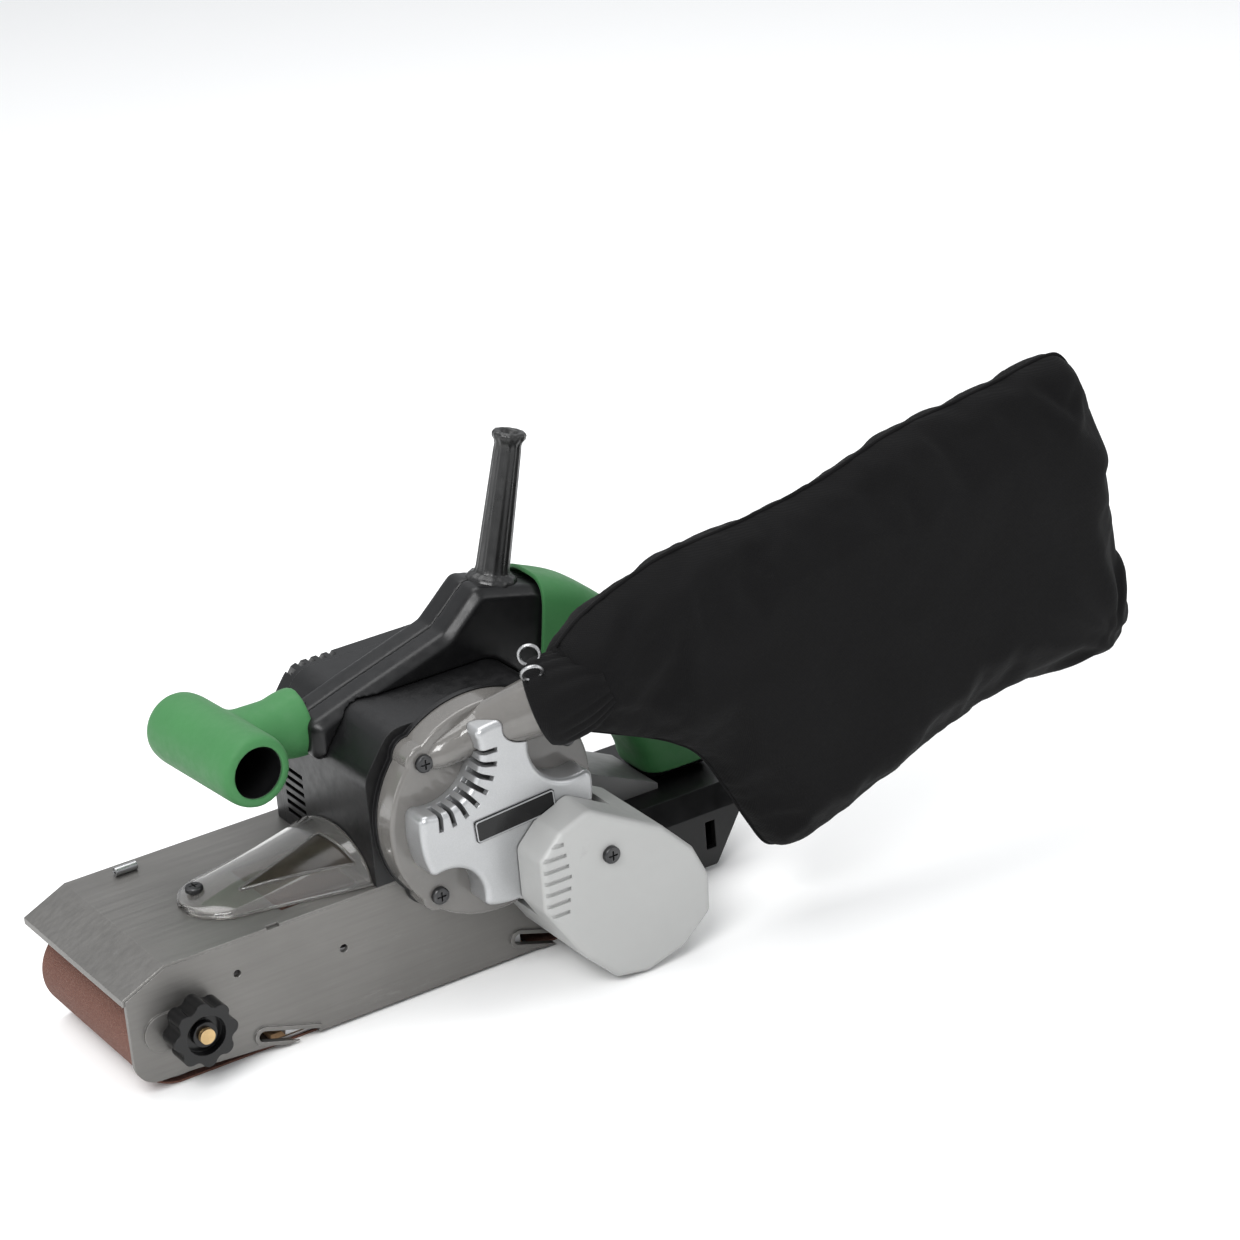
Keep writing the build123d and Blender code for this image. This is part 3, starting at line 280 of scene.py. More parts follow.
def bright_steel():
    m = Mat("bright_steel", (0.42, 0.42, 0.425), 0.26, 1.0)
    m.edges(0.3 * MM, (0.7, 0.7, 0.7), 0.6)
    m.tint(m.noise(40, 5), (0.33, 0.33, 0.335), 0.6)
    m.roughen(m.noise(260, 6, 0.7), 0.16)
    return m.bump(m.noise(1800, 3, 0.6, (0.3, 1, 1)), 0.02 * MM, 0.4).done()


def cast_aluminium():
    m = Mat("cast_aluminium", (0.50, 0.505, 0.51), 0.42, 0.95)
    m.edges(0.5 * MM, (0.74, 0.74, 0.75), 0.6)
    m.tint(m.noise(30, 6, 0.7), (0.40, 0.40, 0.41), 0.6)
    m.roughen(m.noise(200, 5), 0.14)
    return m.bump(m.noise(500, 5, 0.65), 0.10 * MM, 0.5).done()


def screw_black():
    m = Mat("screw_black", (0.045, 0.045, 0.047), 0.30, 0.85)
    m.edges(0.3 * MM, (0.34, 0.34, 0.34), 0.7)
    m.tint(m.noise(120, 5), (0.09, 0.09, 0.09), 0.6)
    m.roughen(m.noise(300, 5), 0.16)
    return m.bump(m.noise(1500, 3), 0.02 * MM, 0.4).done()


def brass():
    m = Mat("brass", (0.56, 0.40, 0.20), 0.28, 1.0)
    m.edges(0.3 * MM, (0.78, 0.64, 0.40), 0.6)
    m.tint(m.noise(160, 6), (0.36, 0.25, 0.13), 0.6)
    m.roughen(m.noise(400, 5), 0.18)
    return m.bump(m.noise(1500, 3), 0.02 * MM, 0.4).done()


def copper():
    m = Mat("copper", (0.58, 0.26, 0.12), 0.34, 1.0)
    m.tint(m.noise(90, 6), (0.36, 0.14, 0.07), 0.7)
    m.roughen(m.noise(400, 5), 0.18)
    return m.bump(m.wave(420, "DIAGONAL", distortion=0.5), 0.12 * MM, 0.6).done()


def core_steel():
    m = Mat("core_steel", (0.22, 0.22, 0.225), 0.42, 0.9)
    m.edges(0.4 * MM, (0.5, 0.5, 0.5), 0.5)
    m.tint(m.noise(60, 6), (0.14, 0.14, 0.145), 0.6)
    m.roughen(m.noise(300, 5), 0.16)
    return m.bump(m.wave(300, "Y"), 0.06 * MM, 0.5).done()


def carbon():
    m = Mat("carbon", (0.03, 0.03, 0.032), 0.45, 0.2)
    m.tint(m.noise(400, 6), (0.07, 0.07, 0.072), 0.6)
    m.roughen(m.noise(300, 4), 0.2)
    return m.bump(m.noise(1200, 4), 0.03 * MM, 0.5).done()


def cork():
    m = Mat("cork", (0.36, 0.22, 0.11), 0.8)
    m.tint(m.ranged(m.cells(420), 0.1, 0.5, 1, 0), (0.22, 0.12, 0.06), 0.7)
    m.tint(m.noise(180, 5), (0.46, 0.30, 0.17), 0.5)
    m.roughen(m.noise(300, 4), 0.12)
    return m.bump(m.cells(420), 0.3 * MM, 0.6).done()


def abrasive():
    m = Mat("abrasive", (0.115, 0.045, 0.030), 0.78)
    grit = m.cells(1500)
    m.tint(m.ranged(grit, 0.1, 0.5, 1, 0), (0.24, 0.12, 0.085), 0.65)
    m.tint(m.noise(1900, 3, 0.6, low=0.55, high=0.62), (0.05, 0.02, 0.015), 0.6)
    m.tint(m.noise(12, 4, stretch=(1, 0.3, 1)), (0.085, 0.032, 0.022), 0.5)
    m.tint(m.noise(2300, 2, low=0.66, high=0.7), (0.5, 0.36, 0.3), 0.5)
    m.roughen(m.noise(900, 3), 0.15)
    return m.bump(grit, 0.35 * MM, 0.8).bump(m.noise(900, 4), 0.2 * MM, 0.5).done()


def black_fabric():
    m = Mat("black_fabric", (0.0038, 0.0037, 0.0039), 0.88, 0.0, Sheen_Weight=0.02,
            Sheen_Roughness=0.45, Specular_IOR_Level=0.12)
    warp = m.wave(430, "X")
    weft = m.wave(430, "Z")
    weave = m.math("MULTIPLY", warp, weft)
    m.tint(weave, (0.0085, 0.0082, 0.0086), 0.6)
    m.tint(m.noise(14, 5, 0.6), (0.0026, 0.0025, 0.0027), 0.6)
    m.tint(m.noise(160, 8, 0.8, low=0.6, high=0.75), (0.012, 0.0115, 0.012), 0.4)
    m.roughen(weave, -0.1)
    return m.bump(weave, 0.18 * MM, 0.6).bump(m.noise(320, 5, 0.6), 0.25 * MM, 0.4).done()


STEEL = bright_steel()   # what any node not named below is made of
LOOKS = {
    "side_frame": sheet_steel(), "gear_cover": silver_paint(), "belt_cover": light_plastic(),
    "motor_housing": black_plastic(), "rear_bridge": grey_plastic(), "rear_grip": green_rubber(),
    "cord_guard": black_rubber(), "fan_cover": smoke_plastic(), "platen_beam": cast_aluminium(),
    "cover_screws": screw_black(), "tracking_screw": brass(), "field_coils": copper(),
    "stator_core": core_steel(), "carbon_brushes": carbon(), "cork_pad": cork(),
    "abrasive_belt": abrasive(), "dust_bag": black_fabric(), "dust_window": clear_plastic(),
    "tracking_knob": black_plastic("knob_plastic", 0.0035, 0.13, 900, 0.02),
    "window_facet": facet_painted_shade(),
}
SAME = {
    "side_frame": ["belt_guard"],
    "gear_cover": ["gear_plate"],
    "motor_housing": ["motor_end_cover", "rear_foot", "handle_shell_near", "handle_shell_far", "trigger",
                      "lock_button", "switch_body", "front_grip_core"],
    "rear_bridge": ["dust_fan"],
    "rear_grip": ["front_grip_cover"],
    "cord_guard": ["timing_belt", "drive_roller_sleeve"],
    "platen_beam": ["idler_roller", "bearing_tube", "lower_pulley"],
    "tracking_screw": ["brush_holders"],
    "field_coils": ["armature_windings", "commutator"],
    "stator_core": ["armature_core"],
    "tracking_knob": ["tracking_washer", "badge_plate"],
}
for leader, others in SAME.items():
    for name in others:
        LOOKS[name] = LOOKS[leader]


def dress(obj, mat):
    """Give every material slot of a node the same material."""
    if not obj.material_slots:
        obj.data.materials.append(mat)
    for slot in obj.material_slots:
        slot.material = mat


def bevelled(obj, width, angle):
    """Round the edges that turn by more than angle degrees."""
    bevel = obj.modifiers.new("bevel", "BEVEL")
    bevel.width = width * MM
    bevel.segments = 2
    bevel.limit_method = "ANGLE"
    bevel.angle_limit = math.radians(angle)


BEVELS = {
    "belt_guard": 0.3, "side_frame": 0.35, "gear_cover": 0.5, "belt_cover": 0.6, "motor_housing": 0.6,
    "motor_end_cover": 0.6, "rear_foot": 1.0, "rear_bridge": 0.8, "fan_cover": 0.3, "tracking_knob": 0.7,
    "platen_beam": 0.4, "badge_plate": 0.2, "trigger": 0.5, "guard_pin": 0.2, "tracking_washer": 0.2,
    "idler_yoke": 0.3, "tension_lever": 0.4, "idler_roller": 0.3, "drive_roller_core": 0.3,
    "drive_roller_sleeve": 0.3, "front_grip_core": 0.3,
}
BEVEL_ANGLE = 35
for name, obj in NODES.items():
    dress(obj, LOOKS.get(name, STEEL))
    if name in BEVELS:
        bevelled(obj, BEVELS[name], BEVEL_ANGLE)


# ---- mesh helpers -------------------------------------------------------------------
def unit(t):
    """t kept between 0 and 1."""
    return min(1.0, max(0.0, t))


def placed(name, data):
    """A new object that holds the data, linked to the scene."""
    obj = bpy.data.objects.new(name, data)
    bpy.context.scene.collection.objects.link(obj)
    return obj


def new_object(name, verts, faces, mat, body, smooth=True):
    mesh = bpy.data.meshes.new(name)
    mesh.from_pydata([tuple(v) for v in verts], [], faces)
    mesh.update()
    obj = placed(name, mesh)
    if mat is not None:
        mesh.materials.append(mat)
    if smooth:
        mesh.polygons.foreach_set("use_smooth", [True] * len(mesh.polygons))
    if body:
        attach(obj, body)
    return obj


def apply_modifiers(obj):
    """Replace the object's mesh by its evaluated mesh."""
    graph = bpy.context.evaluated_depsgraph_get()
    graph.update()
    mesh = bpy.data.meshes.new_from_object(obj.evaluated_get(graph))
    obj.modifiers.clear()
    obj.data = mesh
    return obj


def crosswise(axis):
    """Two unit vectors, square to a unit axis and to each other."""
    start = Vector((0, 0, 1)) if abs(axis.z) < 0.9 else Vector((1, 0, 0))
    side = (start - axis * axis.dot(start)).normalized()
    return side, axis.cross(side)


def loft_faces(rows, sides, ring=False):
    """Quads between closed rows of points; ring joins the last row to the first."""
    faces = []
    for row in range(rows if ring else rows - 1):
        here, there = row * sides, (row + 1) % rows * sides
        for k in range(sides):
            on = (k + 1) % sides
            faces.append((here + k, here + on, there + on, there + k))
    return faces


def end_faces(rows, sides):
    """The two flat ends of a loft."""
    return [tuple(range(sides - 1, -1, -1)), tuple((rows - 1) * sides + k for k in range(sides))]


def tube_along(name, points, radius, mat, body, sides=8, closed=False):
    """A round wire or bead through points in metres, as a mesh; radius in mm."""
    verts = []
    count = len(points)
    side = Vector((0, 0, 1))
    for i, p in enumerate(points):
        a = points[i - 1] if i or closed else p
        b = points[(i + 1) % count] if i < count - 1 or closed else p
        t = (b - a).normalized()
        side = (side - t * side.dot(t)).normalized()
        other = t.cross(side)
        for k in range(sides):
            ang = 2 * math.pi * k / sides
            verts.append(p + (side * math.cos(ang) + other * math.sin(ang)) * radius * MM)
    faces = loft_faces(count, sides, closed)
    if not closed:
        faces += end_faces(count, sides)
    return new_object(name, verts, faces, mat, body)


BORE_LIMIT = 6   # a lathe's radii up to this are bores, which stay round


def lathe(name, centre, axis, profile, mat=None, body=None, sides=96, lobes=0, depth=0.0, ring=False):
    """Revolve (along, radius) points; lobes ripple the outside, ring closes the profile on itself."""
    axis = axis.normalized()
    side, other = crosswise(axis)
    verts = []
    for along, r in profile:
        for k in range(sides):
            ang = 2 * math.pi * k / sides
            rr = (r + (depth * math.cos(lobes * ang) if r > BORE_LIMIT else 0)) * MM
            verts.append(centre + axis * along * MM + (side * math.cos(ang) + other * math.sin(ang)) * rr)
    faces = loft_faces(len(profile), sides, ring)
    if not ring:
        faces += end_faces(len(profile), sides)
    return new_object(name, verts, faces, mat, body)


def shape(obj, kind, **values):
    """Add one modifier and bake it into the mesh."""
    modifier = obj.modifiers.new(kind.lower(), kind)
    for key, value in values.items():
        setattr(modifier, key, value)
    apply_modifiers(obj)


def walled(obj, thickness, offset):
    """Give an open skin a wall: offset 1 grows it outwards and -1 inwards."""
    wall = obj.modifiers.new("wall", "SOLIDIFY")
    wall.thickness = thickness * MM
    wall.offset = offset


def cut_away(obj, tool):
    """Subtract the tool's volume from the object and remove the tool."""
    cut = obj.modifiers.new("cut", "BOOLEAN")
    cut.object = tool
    cut.solver = "EXACT"
    apply_modifiers(obj)
    bpy.data.objects.remove(tool)


def joined(name, pieces, mat, body):
    """One new object made of the meshes of the pieces, which are removed."""
    bm = bmesh.new()
    for piece in pieces:
        bm.from_mesh(piece.data)
        bpy.data.objects.remove(piece)
    mesh = bpy.data.meshes.new(name)
    bm.to_mesh(mesh)
    bm.free()
    obj = placed(name, mesh)
    mesh.materials.append(mat)
    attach(obj, body)
    return obj


def smooth_shade(obj, mat):
    obj.data.materials.clear()
    obj.data.materials.append(mat)
    obj.data.polygons.foreach_set("use_smooth", [True] * len(obj.data.polygons))


def smooth_line(points, per=6):
    """Catmull-Rom through points of any dimension, per steps to each span."""
    out = []
    for i in range(len(points) - 1):
        p0 = points[max(i - 1, 0)]
        p1, p2 = points[i], points[i + 1]
        p3 = points[min(i + 2, len(points) - 1)]
        for k in range(per):
            t = k / per
            out.append(tuple(
                0.5 * ((2 * b) + (c - a) * t + (2 * a - 5 * b + 4 * c - d) * t * t
                       + (3 * b - a - 3 * c + d) * t ** 3)
                for a, b, c, d in zip(p0, p1, p2, p3)))
    out.append(points[-1])
    return out


# ---- smooth moulded shells ----------------------------------------------------------
SHELL_VOXEL = 1.2
SHELL_SMOOTHING = 7
GRIP_VOXEL = 1.3
GRIP_SMOOTHING = 14
GRIP_R = 18.9
GRIP_BORE_R = 15.9
GRIP_MOUTH_R = 13.4
TRIGGER_AT = Vector((154.5, 0, 114.5))
TRIGGER_PUSH = Vector((0.735, 0, 0.678))      # the way a finger presses the trigger
TRIGGER_SPAN = Vector((-0.678, 0, 0.735))     # along the trigger's face
LOCK_AT = Vector((150, -30, 141))


def softened(node):
    """A copy of a CAD node with its corners run together, as its moulding has them."""
    obj = placed(node + "_skin", NODES[node].data.copy())
    shape(obj, "REMESH", mode="VOXEL", voxel_size=SHELL_VOXEL * MM)
    shape(obj, "SMOOTH", factor=0.5, iterations=SHELL_SMOOTHING)
    smooth_shade(obj, LOOKS[node])
    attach(obj, "machine")
    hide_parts(node)


def front_grip():
    """Fat cross grip that runs smoothly into its neck, open at its near end."""
    near, far = Vector((-46, -35, 139)) * MM, Vector((-50, 46, 137)) * MM
    way = (near - far).normalized()
    length = (near - far).length / MM
    bar = lathe("bar", far, way, [(-4.0, 6), (-3.6, 11), (-1.5, 15.5), (2, 18.2), (8, GRIP_R),
                                  (length - 6, GRIP_R), (length - 1.5, 18.2), (length, 16.8)])
    neck = lathe("neck", Vector((-44, 8, 137)) * MM, Vector((1, 0, 0)),
                 [(0, 16), (28, 15.6), (34, 17.2), (43, 18.0)])
    grip = joined("front_grip_skin", [bar, neck], LOOKS["front_grip_cover"], "machine")
    shape(grip, "REMESH", mode="VOXEL", voxel_size=GRIP_VOXEL * MM)
    shape(grip, "SMOOTH", factor=0.5, iterations=GRIP_SMOOTHING)
    cut_away(grip, lathe("hole", far, way, [(3.0, GRIP_BORE_R), (length - 2.2, GRIP_BORE_R),
                                            (length - 2.1, GRIP_MOUTH_R), (length + 6, 13.9)]))
    smooth_shade(grip, LOOKS["front_grip_cover"])
    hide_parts("front_grip_cover")


def rounded(value):
    """A cosine or sine pushed outwards, which squares a circle's section off."""
    return math.copysign(math.sqrt(abs(value)), value)


def rear_grip():
    """Green skin drawn smoothly round the grip, open for the trigger and the lock button."""
    # outer and inner edge of the section at each station, from the top: (x, z, x, z)
    stations = [(130.5, 180.5, 123.5, 128.8), (155.5, 168.0, 144.6, 121.4), (183.6, 141.6, 167.0, 96.8),
                (208.0, 105.0, 182.0, 67.0), (223.0, 71.0, 184.6, 57.0), (226.4, 54.2, 185.5, 54.2)]
    sides = 72
    half = 19.0
    wall = 1.9
    rows = smooth_line(stations, 8)
    verts = []
    for ox, oz, ix, iz in rows:
        for k in range(sides):
            ang = 2 * math.pi * k / sides
            across, along = rounded(math.cos(ang)), rounded(math.sin(ang))
            x = (ox + ix) / 2 + (ox - ix) / 2 * along
            z = (oz + iz) / 2 + (oz - iz) / 2 * along
            verts.append(Vector((x, half * across, z)) * MM)
    grip = new_object("rear_grip_skin", verts, loft_faces(len(rows), sides), None, "machine")
    shape(grip, "SOLIDIFY", thickness=wall * MM, offset=1)
    centre = TRIGGER_AT + TRIGGER_PUSH * 4
    half_y, half_span, half_push = 7, 16, 22
    corners = [(centre + Vector((0, half_y * a, 0)) + TRIGGER_SPAN * half_span * b
                + TRIGGER_PUSH * half_push * c) * MM
               for a in (-1, 1) for b in (-1, 1) for c in (-1, 1)]
    box_faces = [(0, 1, 3, 2), (4, 6, 7, 5), (0, 4, 5, 1), (2, 3, 7, 6), (0, 2, 6, 4), (1, 5, 7, 3)]
    cut_away(grip, new_object("trigger_way", corners, box_faces, None, None, False))
    lock_way_r, lock_way_length = 5.2, 22
    cut_away(grip, lathe("lock_way", LOCK_AT * MM, Vector((0, 1, 0)),
                         [(0, lock_way_r), (lock_way_length, lock_way_r)], sides=48))
    smooth_shade(grip, LOOKS["rear_grip"])
    bevelled(grip, 0.5, 50)
    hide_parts("rear_grip")


def cord_guard():
    """Fluted rubber sleeve with a flared lip, hollow right through."""
    base, way = Vector((112, 0, 184)) * MM, Vector((0.25, 0, 1))
    flutes, flute_depth = 12, 0.22
    profile = [(-8, 4.2), (-8, 13.6), (-3, 13.4), (-0.5, 12.9), (1.4, 11.2), (1.9, 9.4), (3, 8.9), (5, 8.5),
               (36, 7.7), (66, 6.9), (69, 6.7), (71, 7.2), (72.6, 8.4), (74.6, 8.6), (75.8, 7.9), (76, 6.1),
               (75.4, 4.4), (60, 4.2)]
    sleeve = lathe("cord_guard_skin", base, way, profile, LOOKS["cord_guard"], "machine", 120,
                   flutes, flute_depth, True)
    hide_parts("cord_guard")


# ---- dust duct ----------------------------------------------------------------------
DUCT_START = Vector((34, -69, 136)) * MM
DUCT_KNEE = Vector((60, -71.5, 143)) * MM
DUCT_END = Vector((91.5, -91.0, 155.2)) * MM
DUCT_WAY = (DUCT_END - DUCT_KNEE).normalized()


def duct_skin():
    """The dust duct as one fluted bell that fades into the fan case."""
    buried = 11 * MM                      # how far its tip lies inside the fan case
    tip_r, tube_r, bell_r = 2.0, 6.4, 8.4   # each is added to the one before along the duct
    bell_from = 0.25
    flutes, flute_depth, flute_from, flute_length = 7, 0.55, 0.30, 0.66
    tip = DUCT_START - (DUCT_KNEE - DUCT_START).normalized() * buried
    bend = DUCT_KNEE.lerp(DUCT_END, 0.55)
    line = smooth_line([tuple(p) for p in (tip, DUCT_START, DUCT_KNEE, bend, DUCT_END)], 10)
    count = len(line) - 1
    sides = 112
    verts = []
    for i, point in enumerate(line):
        t = i / count
        side, other = crosswise((Vector(line[min(i + 1, count)]) - Vector(line[max(i - 1, 0)])).normalized())
        radius = tip_r + tube_r * unit(4 * t) + bell_r * unit((t - bell_from) / (1 - bell_from)) ** 0.9
        swell = max(0.0, math.sin(math.pi * unit((t - flute_from) / flute_length)))
        flute = flute_depth * swell ** 0.8
        for k in range(sides):
            ang = 2 * math.pi * k / sides
            r = (radius + flute * abs(math.sin(flutes * ang)) - flute * 0.3) * MM
            verts.append(Vector(point) + (side * math.cos(ang) + other * math.sin(ang)) * r)
    duct = new_object("duct_skin", verts, loft_faces(len(line), sides), LOOKS["fan_cover"], "machine")
    walled(duct, 0.4, -1)


# ---- springs ------------------------------------------------------------------------
def coil_spring(name, node, start, way, length, radius, wire, turns):
    """A helix of wire from start along way, over length, in place of the node."""
    way = way.normalized()
    side = Vector((0, 1, 0))
    other = way.cross(side)
    points = []
    steps = 20 * turns
    for i in range(steps + 1):
        ang = 2 * math.pi * turns * i / steps
        points.append((start + way * length * i / steps
                       + side * radius * math.cos(ang) + other * radius * math.sin(ang)) * MM)
    spring = tube_along(name, points, wire, STEEL, "machine")
    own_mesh(spring)
    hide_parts(node)


def springs():
    low, high = (Vector(c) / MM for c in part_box("tension_spring"))
    middle = (low + high) / 2
    wire = 1.1
    coil_spring("tension_spring_coil", "tension_spring",
                Vector((low.x + wire, middle.y, middle.z)), Vector((1, 0, 0)),
                length=high.x - low.x - 2 * wire, radius=7.9, wire=wire, turns=7)
    push = TRIGGER_PUSH.normalized()
    coil_spring("trigger_spring_coil", "trigger_spring", TRIGGER_AT + push * 8.6, push,
                length=8.3, radius=3.4, wire=0.45, turns=4)


# ---- dust window --------------------------------------------------------------------
GUARD_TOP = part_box("belt_guard")[1][2] / MM
NOSE_X, NOSE_Y, NOSE_R = -60, -12, 26     # the window's round front
SIDES_FROM = -62                          # its straight sides run from here to x = 0
NEAR_SIDE = (-38, -53)                    # y at the two ends of each side
FAR_SIDE = (13.9, 30.0)
LIP = 1.5                                 # height of the edge all round
RIM = 2.2                                 # width of the flat rim inside it
FRONT_RISE, BACK_RISE = 2.2, 17.5
DOME_LENGTH = 84
WINDOW_FRONT, WINDOW_LENGTH = -85.6, 85.3
FACET = [(-61, -24), (-10, -17), (-5, -45)]


def window_edges(x):
    """Near and far edge of the window at x."""
    if x < SIDES_FROM:
        swing = math.sqrt(max(0.0, NOSE_R ** 2 - (x - NOSE_X) ** 2))
        return NOSE_Y - swing, NOSE_Y + swing
    t = (x - SIDES_FROM) / -SIDES_FROM
    return tuple(start + (end - start) * t for start, end in (NEAR_SIDE, FAR_SIDE))


def window_height(x, y):
    """A low dome that rises to the motor housing and slopes to the near side."""
    near, far = window_edges(x)
    t = unit((y - near - RIM) / max(far - near - 2 * RIM, 0.1))
    rise = FRONT_RISE + BACK_RISE * unit((x + DOME_LENGTH) / DOME_LENGTH) ** 1.15
    arch = math.sin(math.pi * t ** 0.8) ** 0.62
    return GUARD_TOP + LIP + rise * arch


def dust_window():
    verts, faces = [], []
    columns, rows = 60, 40
    wide = rows + 7
    corner = 0.4
    for i in range(columns + 1):
        x = WINDOW_FRONT + WINDOW_LENGTH * i / columns
        near, far = window_edges(x)
        foot, shoulder, top = GUARD_TOP + 0.1, GUARD_TOP + LIP - corner, GUARD_TOP + LIP
        section = [(near, foot), (near, shoulder), (near + corner, top)]
        for k in range(rows + 1):
            y = near + RIM + (far - near - 2 * RIM) * (0.5 - 0.5 * math.cos(math.pi * k / rows))
            section.append((y, window_height(x, y)))
        section += [(far - corner, top), (far, shoulder), (far, foot)]
        verts += [Vector((x, y, z)) * MM for y, z in section]
    for i in range(columns):
        for k in range(wide - 1):
            a = i * wide + k
            faces.append((a, a + wide, a + wide + 1, a + 1))
    window = new_object("dust_window_skin", verts, faces, LOOKS["dust_window"], "machine")
    walled(window, 1.6, -1)
    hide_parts("dust_window")


def on_window(x, y, lift):
    return Vector((x, y, window_height(x, y) + lift)) * MM


def facet_line():
    """The facet's outline with its three corners cut round, in steps of about 2 mm."""
    rim = []
    for i, (x, y) in enumerate(FACET):
        for (ax, ay), arriving in ((FACET[i - 1], True), (FACET[(i + 1) % 3], False)):
            for step in range(3):
                t = 0.03 + 0.04 * (2 - step if arriving else step)
                rim.append((x + (ax - x) * t, y + (ay - y) * t))
    line = []
    for i, (x, y) in enumerate(rim):
        nx, ny = rim[(i + 1) % len(rim)]
        parts = max(1, int(math.hypot(nx - x, ny - y) / 2))
        line += [(x + (nx - x) * k / parts, y + (ny - y) * k / parts) for k in range(parts)]
    return line


def window_facet():
    """Three-cornered facet on the near slope of the window, inside a raised bead, painted dark as painted
    shade of the chute under the window.
    """
    line = facet_line()
    tube_along("window_bead", [on_window(x, y, 0.3) for x, y in line], 0.9, LOOKS["dust_window"],
               "machine", closed=True)
    n = len(line)
    mid_x, mid_y = sum(x for x, y in line) / n, sum(y for x, y in line) / n
    lift = 0.25
    bands = 8
    verts = [on_window(mid_x, mid_y, lift)]
    for band in range(1, bands + 1):
        t = band / bands
        verts += [on_window(mid_x + (x - mid_x) * t, mid_y + (y - mid_y) * t, lift) for x, y in line]
    faces = []
    for k in range(n):
        on = (k + 1) % n
        faces.append((0, 1 + k, 1 + on))
        for band in range(bands - 1):
            a, b = 1 + band * n + k, 1 + band * n + on
            faces.append((a, a + n, b + n, b))
    facet = new_object("window_facet", verts, faces, LOOKS["window_facet"], "machine")
    walled(facet, 0.3, 1)


def badge_rim():
    """Thin raised silver line round the blank badge."""
    low, high = (Vector(c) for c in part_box("badge_plate"))
    centre = (low + high) / 2
    turn = Matrix.Rotation(math.radians(-4), 3, "Y")
    half_x, half_z, corner = 22.4 * MM, 5.4 * MM, 1.4 * MM
    points = []
    for sx, sz, start in ((1, 1, 0), (-1, 1, 90), (-1, -1, 180), (1, -1, 270)):
        for step in range(4):
            ang = math.radians(start + 30 * step)
            at = Vector((sx * (half_x - corner) + corner * math.cos(ang), 0,
                         sz * (half_z - corner) + corner * math.sin(ang)))
            points.append(Vector((centre.x, low.y, centre.z)) + turn @ at)
    tube_along("badge_rim", points, 0.4, LOOKS["gear_cover"], "machine", closed=True)


# ---- dust bag -----------------------------------------------------------------------
BAG_MID = -95 * MM
BAG_LINE = [(93, 182), (105, 192), (118, 199), (138, 207), (157, 213), (178, 215), (199, 217),
            (228, 221), (257, 227), (295, 238), (333, 243), (362, 247), (391, 252), (404, 249),
            (413, 231), (424, 189), (430, 150), (438, 113), (437, 97), (426, 82), (396, 77),
            (356, 76), (316, 66), (263, 49), (230, 39), (218, 36), (204, 38), (193, 55), (181, 78),
            (168, 100), (155, 111), (140, 119), (116, 129), (94, 138)]
BLANK_HALF = 6            # half thickness of the flat blank that the bag is shaped from
BAG_VOXEL = 4.2
PUFFED_HALF = 22.0        # half thickness of the filled bag, reached PUFF_REACH inside the seam
PUFF_REACH = 30.0
MOUTH = (93, 160)         # where folds fan out from: the mouth, and the low corner of the closed end
CLOSED_CORNER = (415, 95)
CLOSED_END = 432
HELD_TO = 104             # the neck up to here, and a strip at the seam, don't move in the cloth run
HELD_STRIP = 3
CLOTH_FRAMES = 14
CLOTH_MOVE = 5            # the furthest that a point may move in the cloth run


def line_distance(x, z, line):
    """Shortest distance from a point to a broken line."""
    best = math.inf
    for (x0, z0), (x1, z1) in zip(line, line[1:]):
        dx, dz = x1 - x0, z1 - z0
        t = unit(((x - x0) * dx + (z - z0) * dz) / (dx * dx + dz * dz))
        best = min(best, (x - x0 - t * dx) ** 2 + (z - z0 - t * dz) ** 2)
    return math.sqrt(best)


def bag_half(d):
    """Half thickness at distance d inside the seam."""
    t = min(d / PUFF_REACH, 1.0)
    return 0.8 + PUFFED_HALF * math.sqrt(max(0.0, 1 - (1 - t) ** 2))


def bag_middle(x):
    """The y of the bag's middle at x: it leans out past its neck."""
    return -91.0 - 4.0 * unit((x - 95) / 60)


def make_bag():
    line = smooth_line(BAG_LINE)
    n = len(line)
    verts = [(x * MM, y * MM, z * MM) for y in (-BLANK_HALF, BLANK_HALF) for x, z in line]
    faces = [tuple(range(n)), tuple(range(2 * n - 1, n - 1, -1))]
    faces += [(i, i + n, (i + 1) % n + n, (i + 1) % n) for i in range(n)]
    bag = new_object("bag_cloth", verts, faces, None, None)
    shape(bag, "REMESH", mode="VOXEL", voxel_size=BAG_VOXEL * MM)
    for v in bag.data.vertices:
        x, y, z = (c / MM for c in v.co)
        v.co.y = (bag_middle(x) + y / BLANK_HALF * bag_half(line_distance(x, z, line))) * MM
    return bag


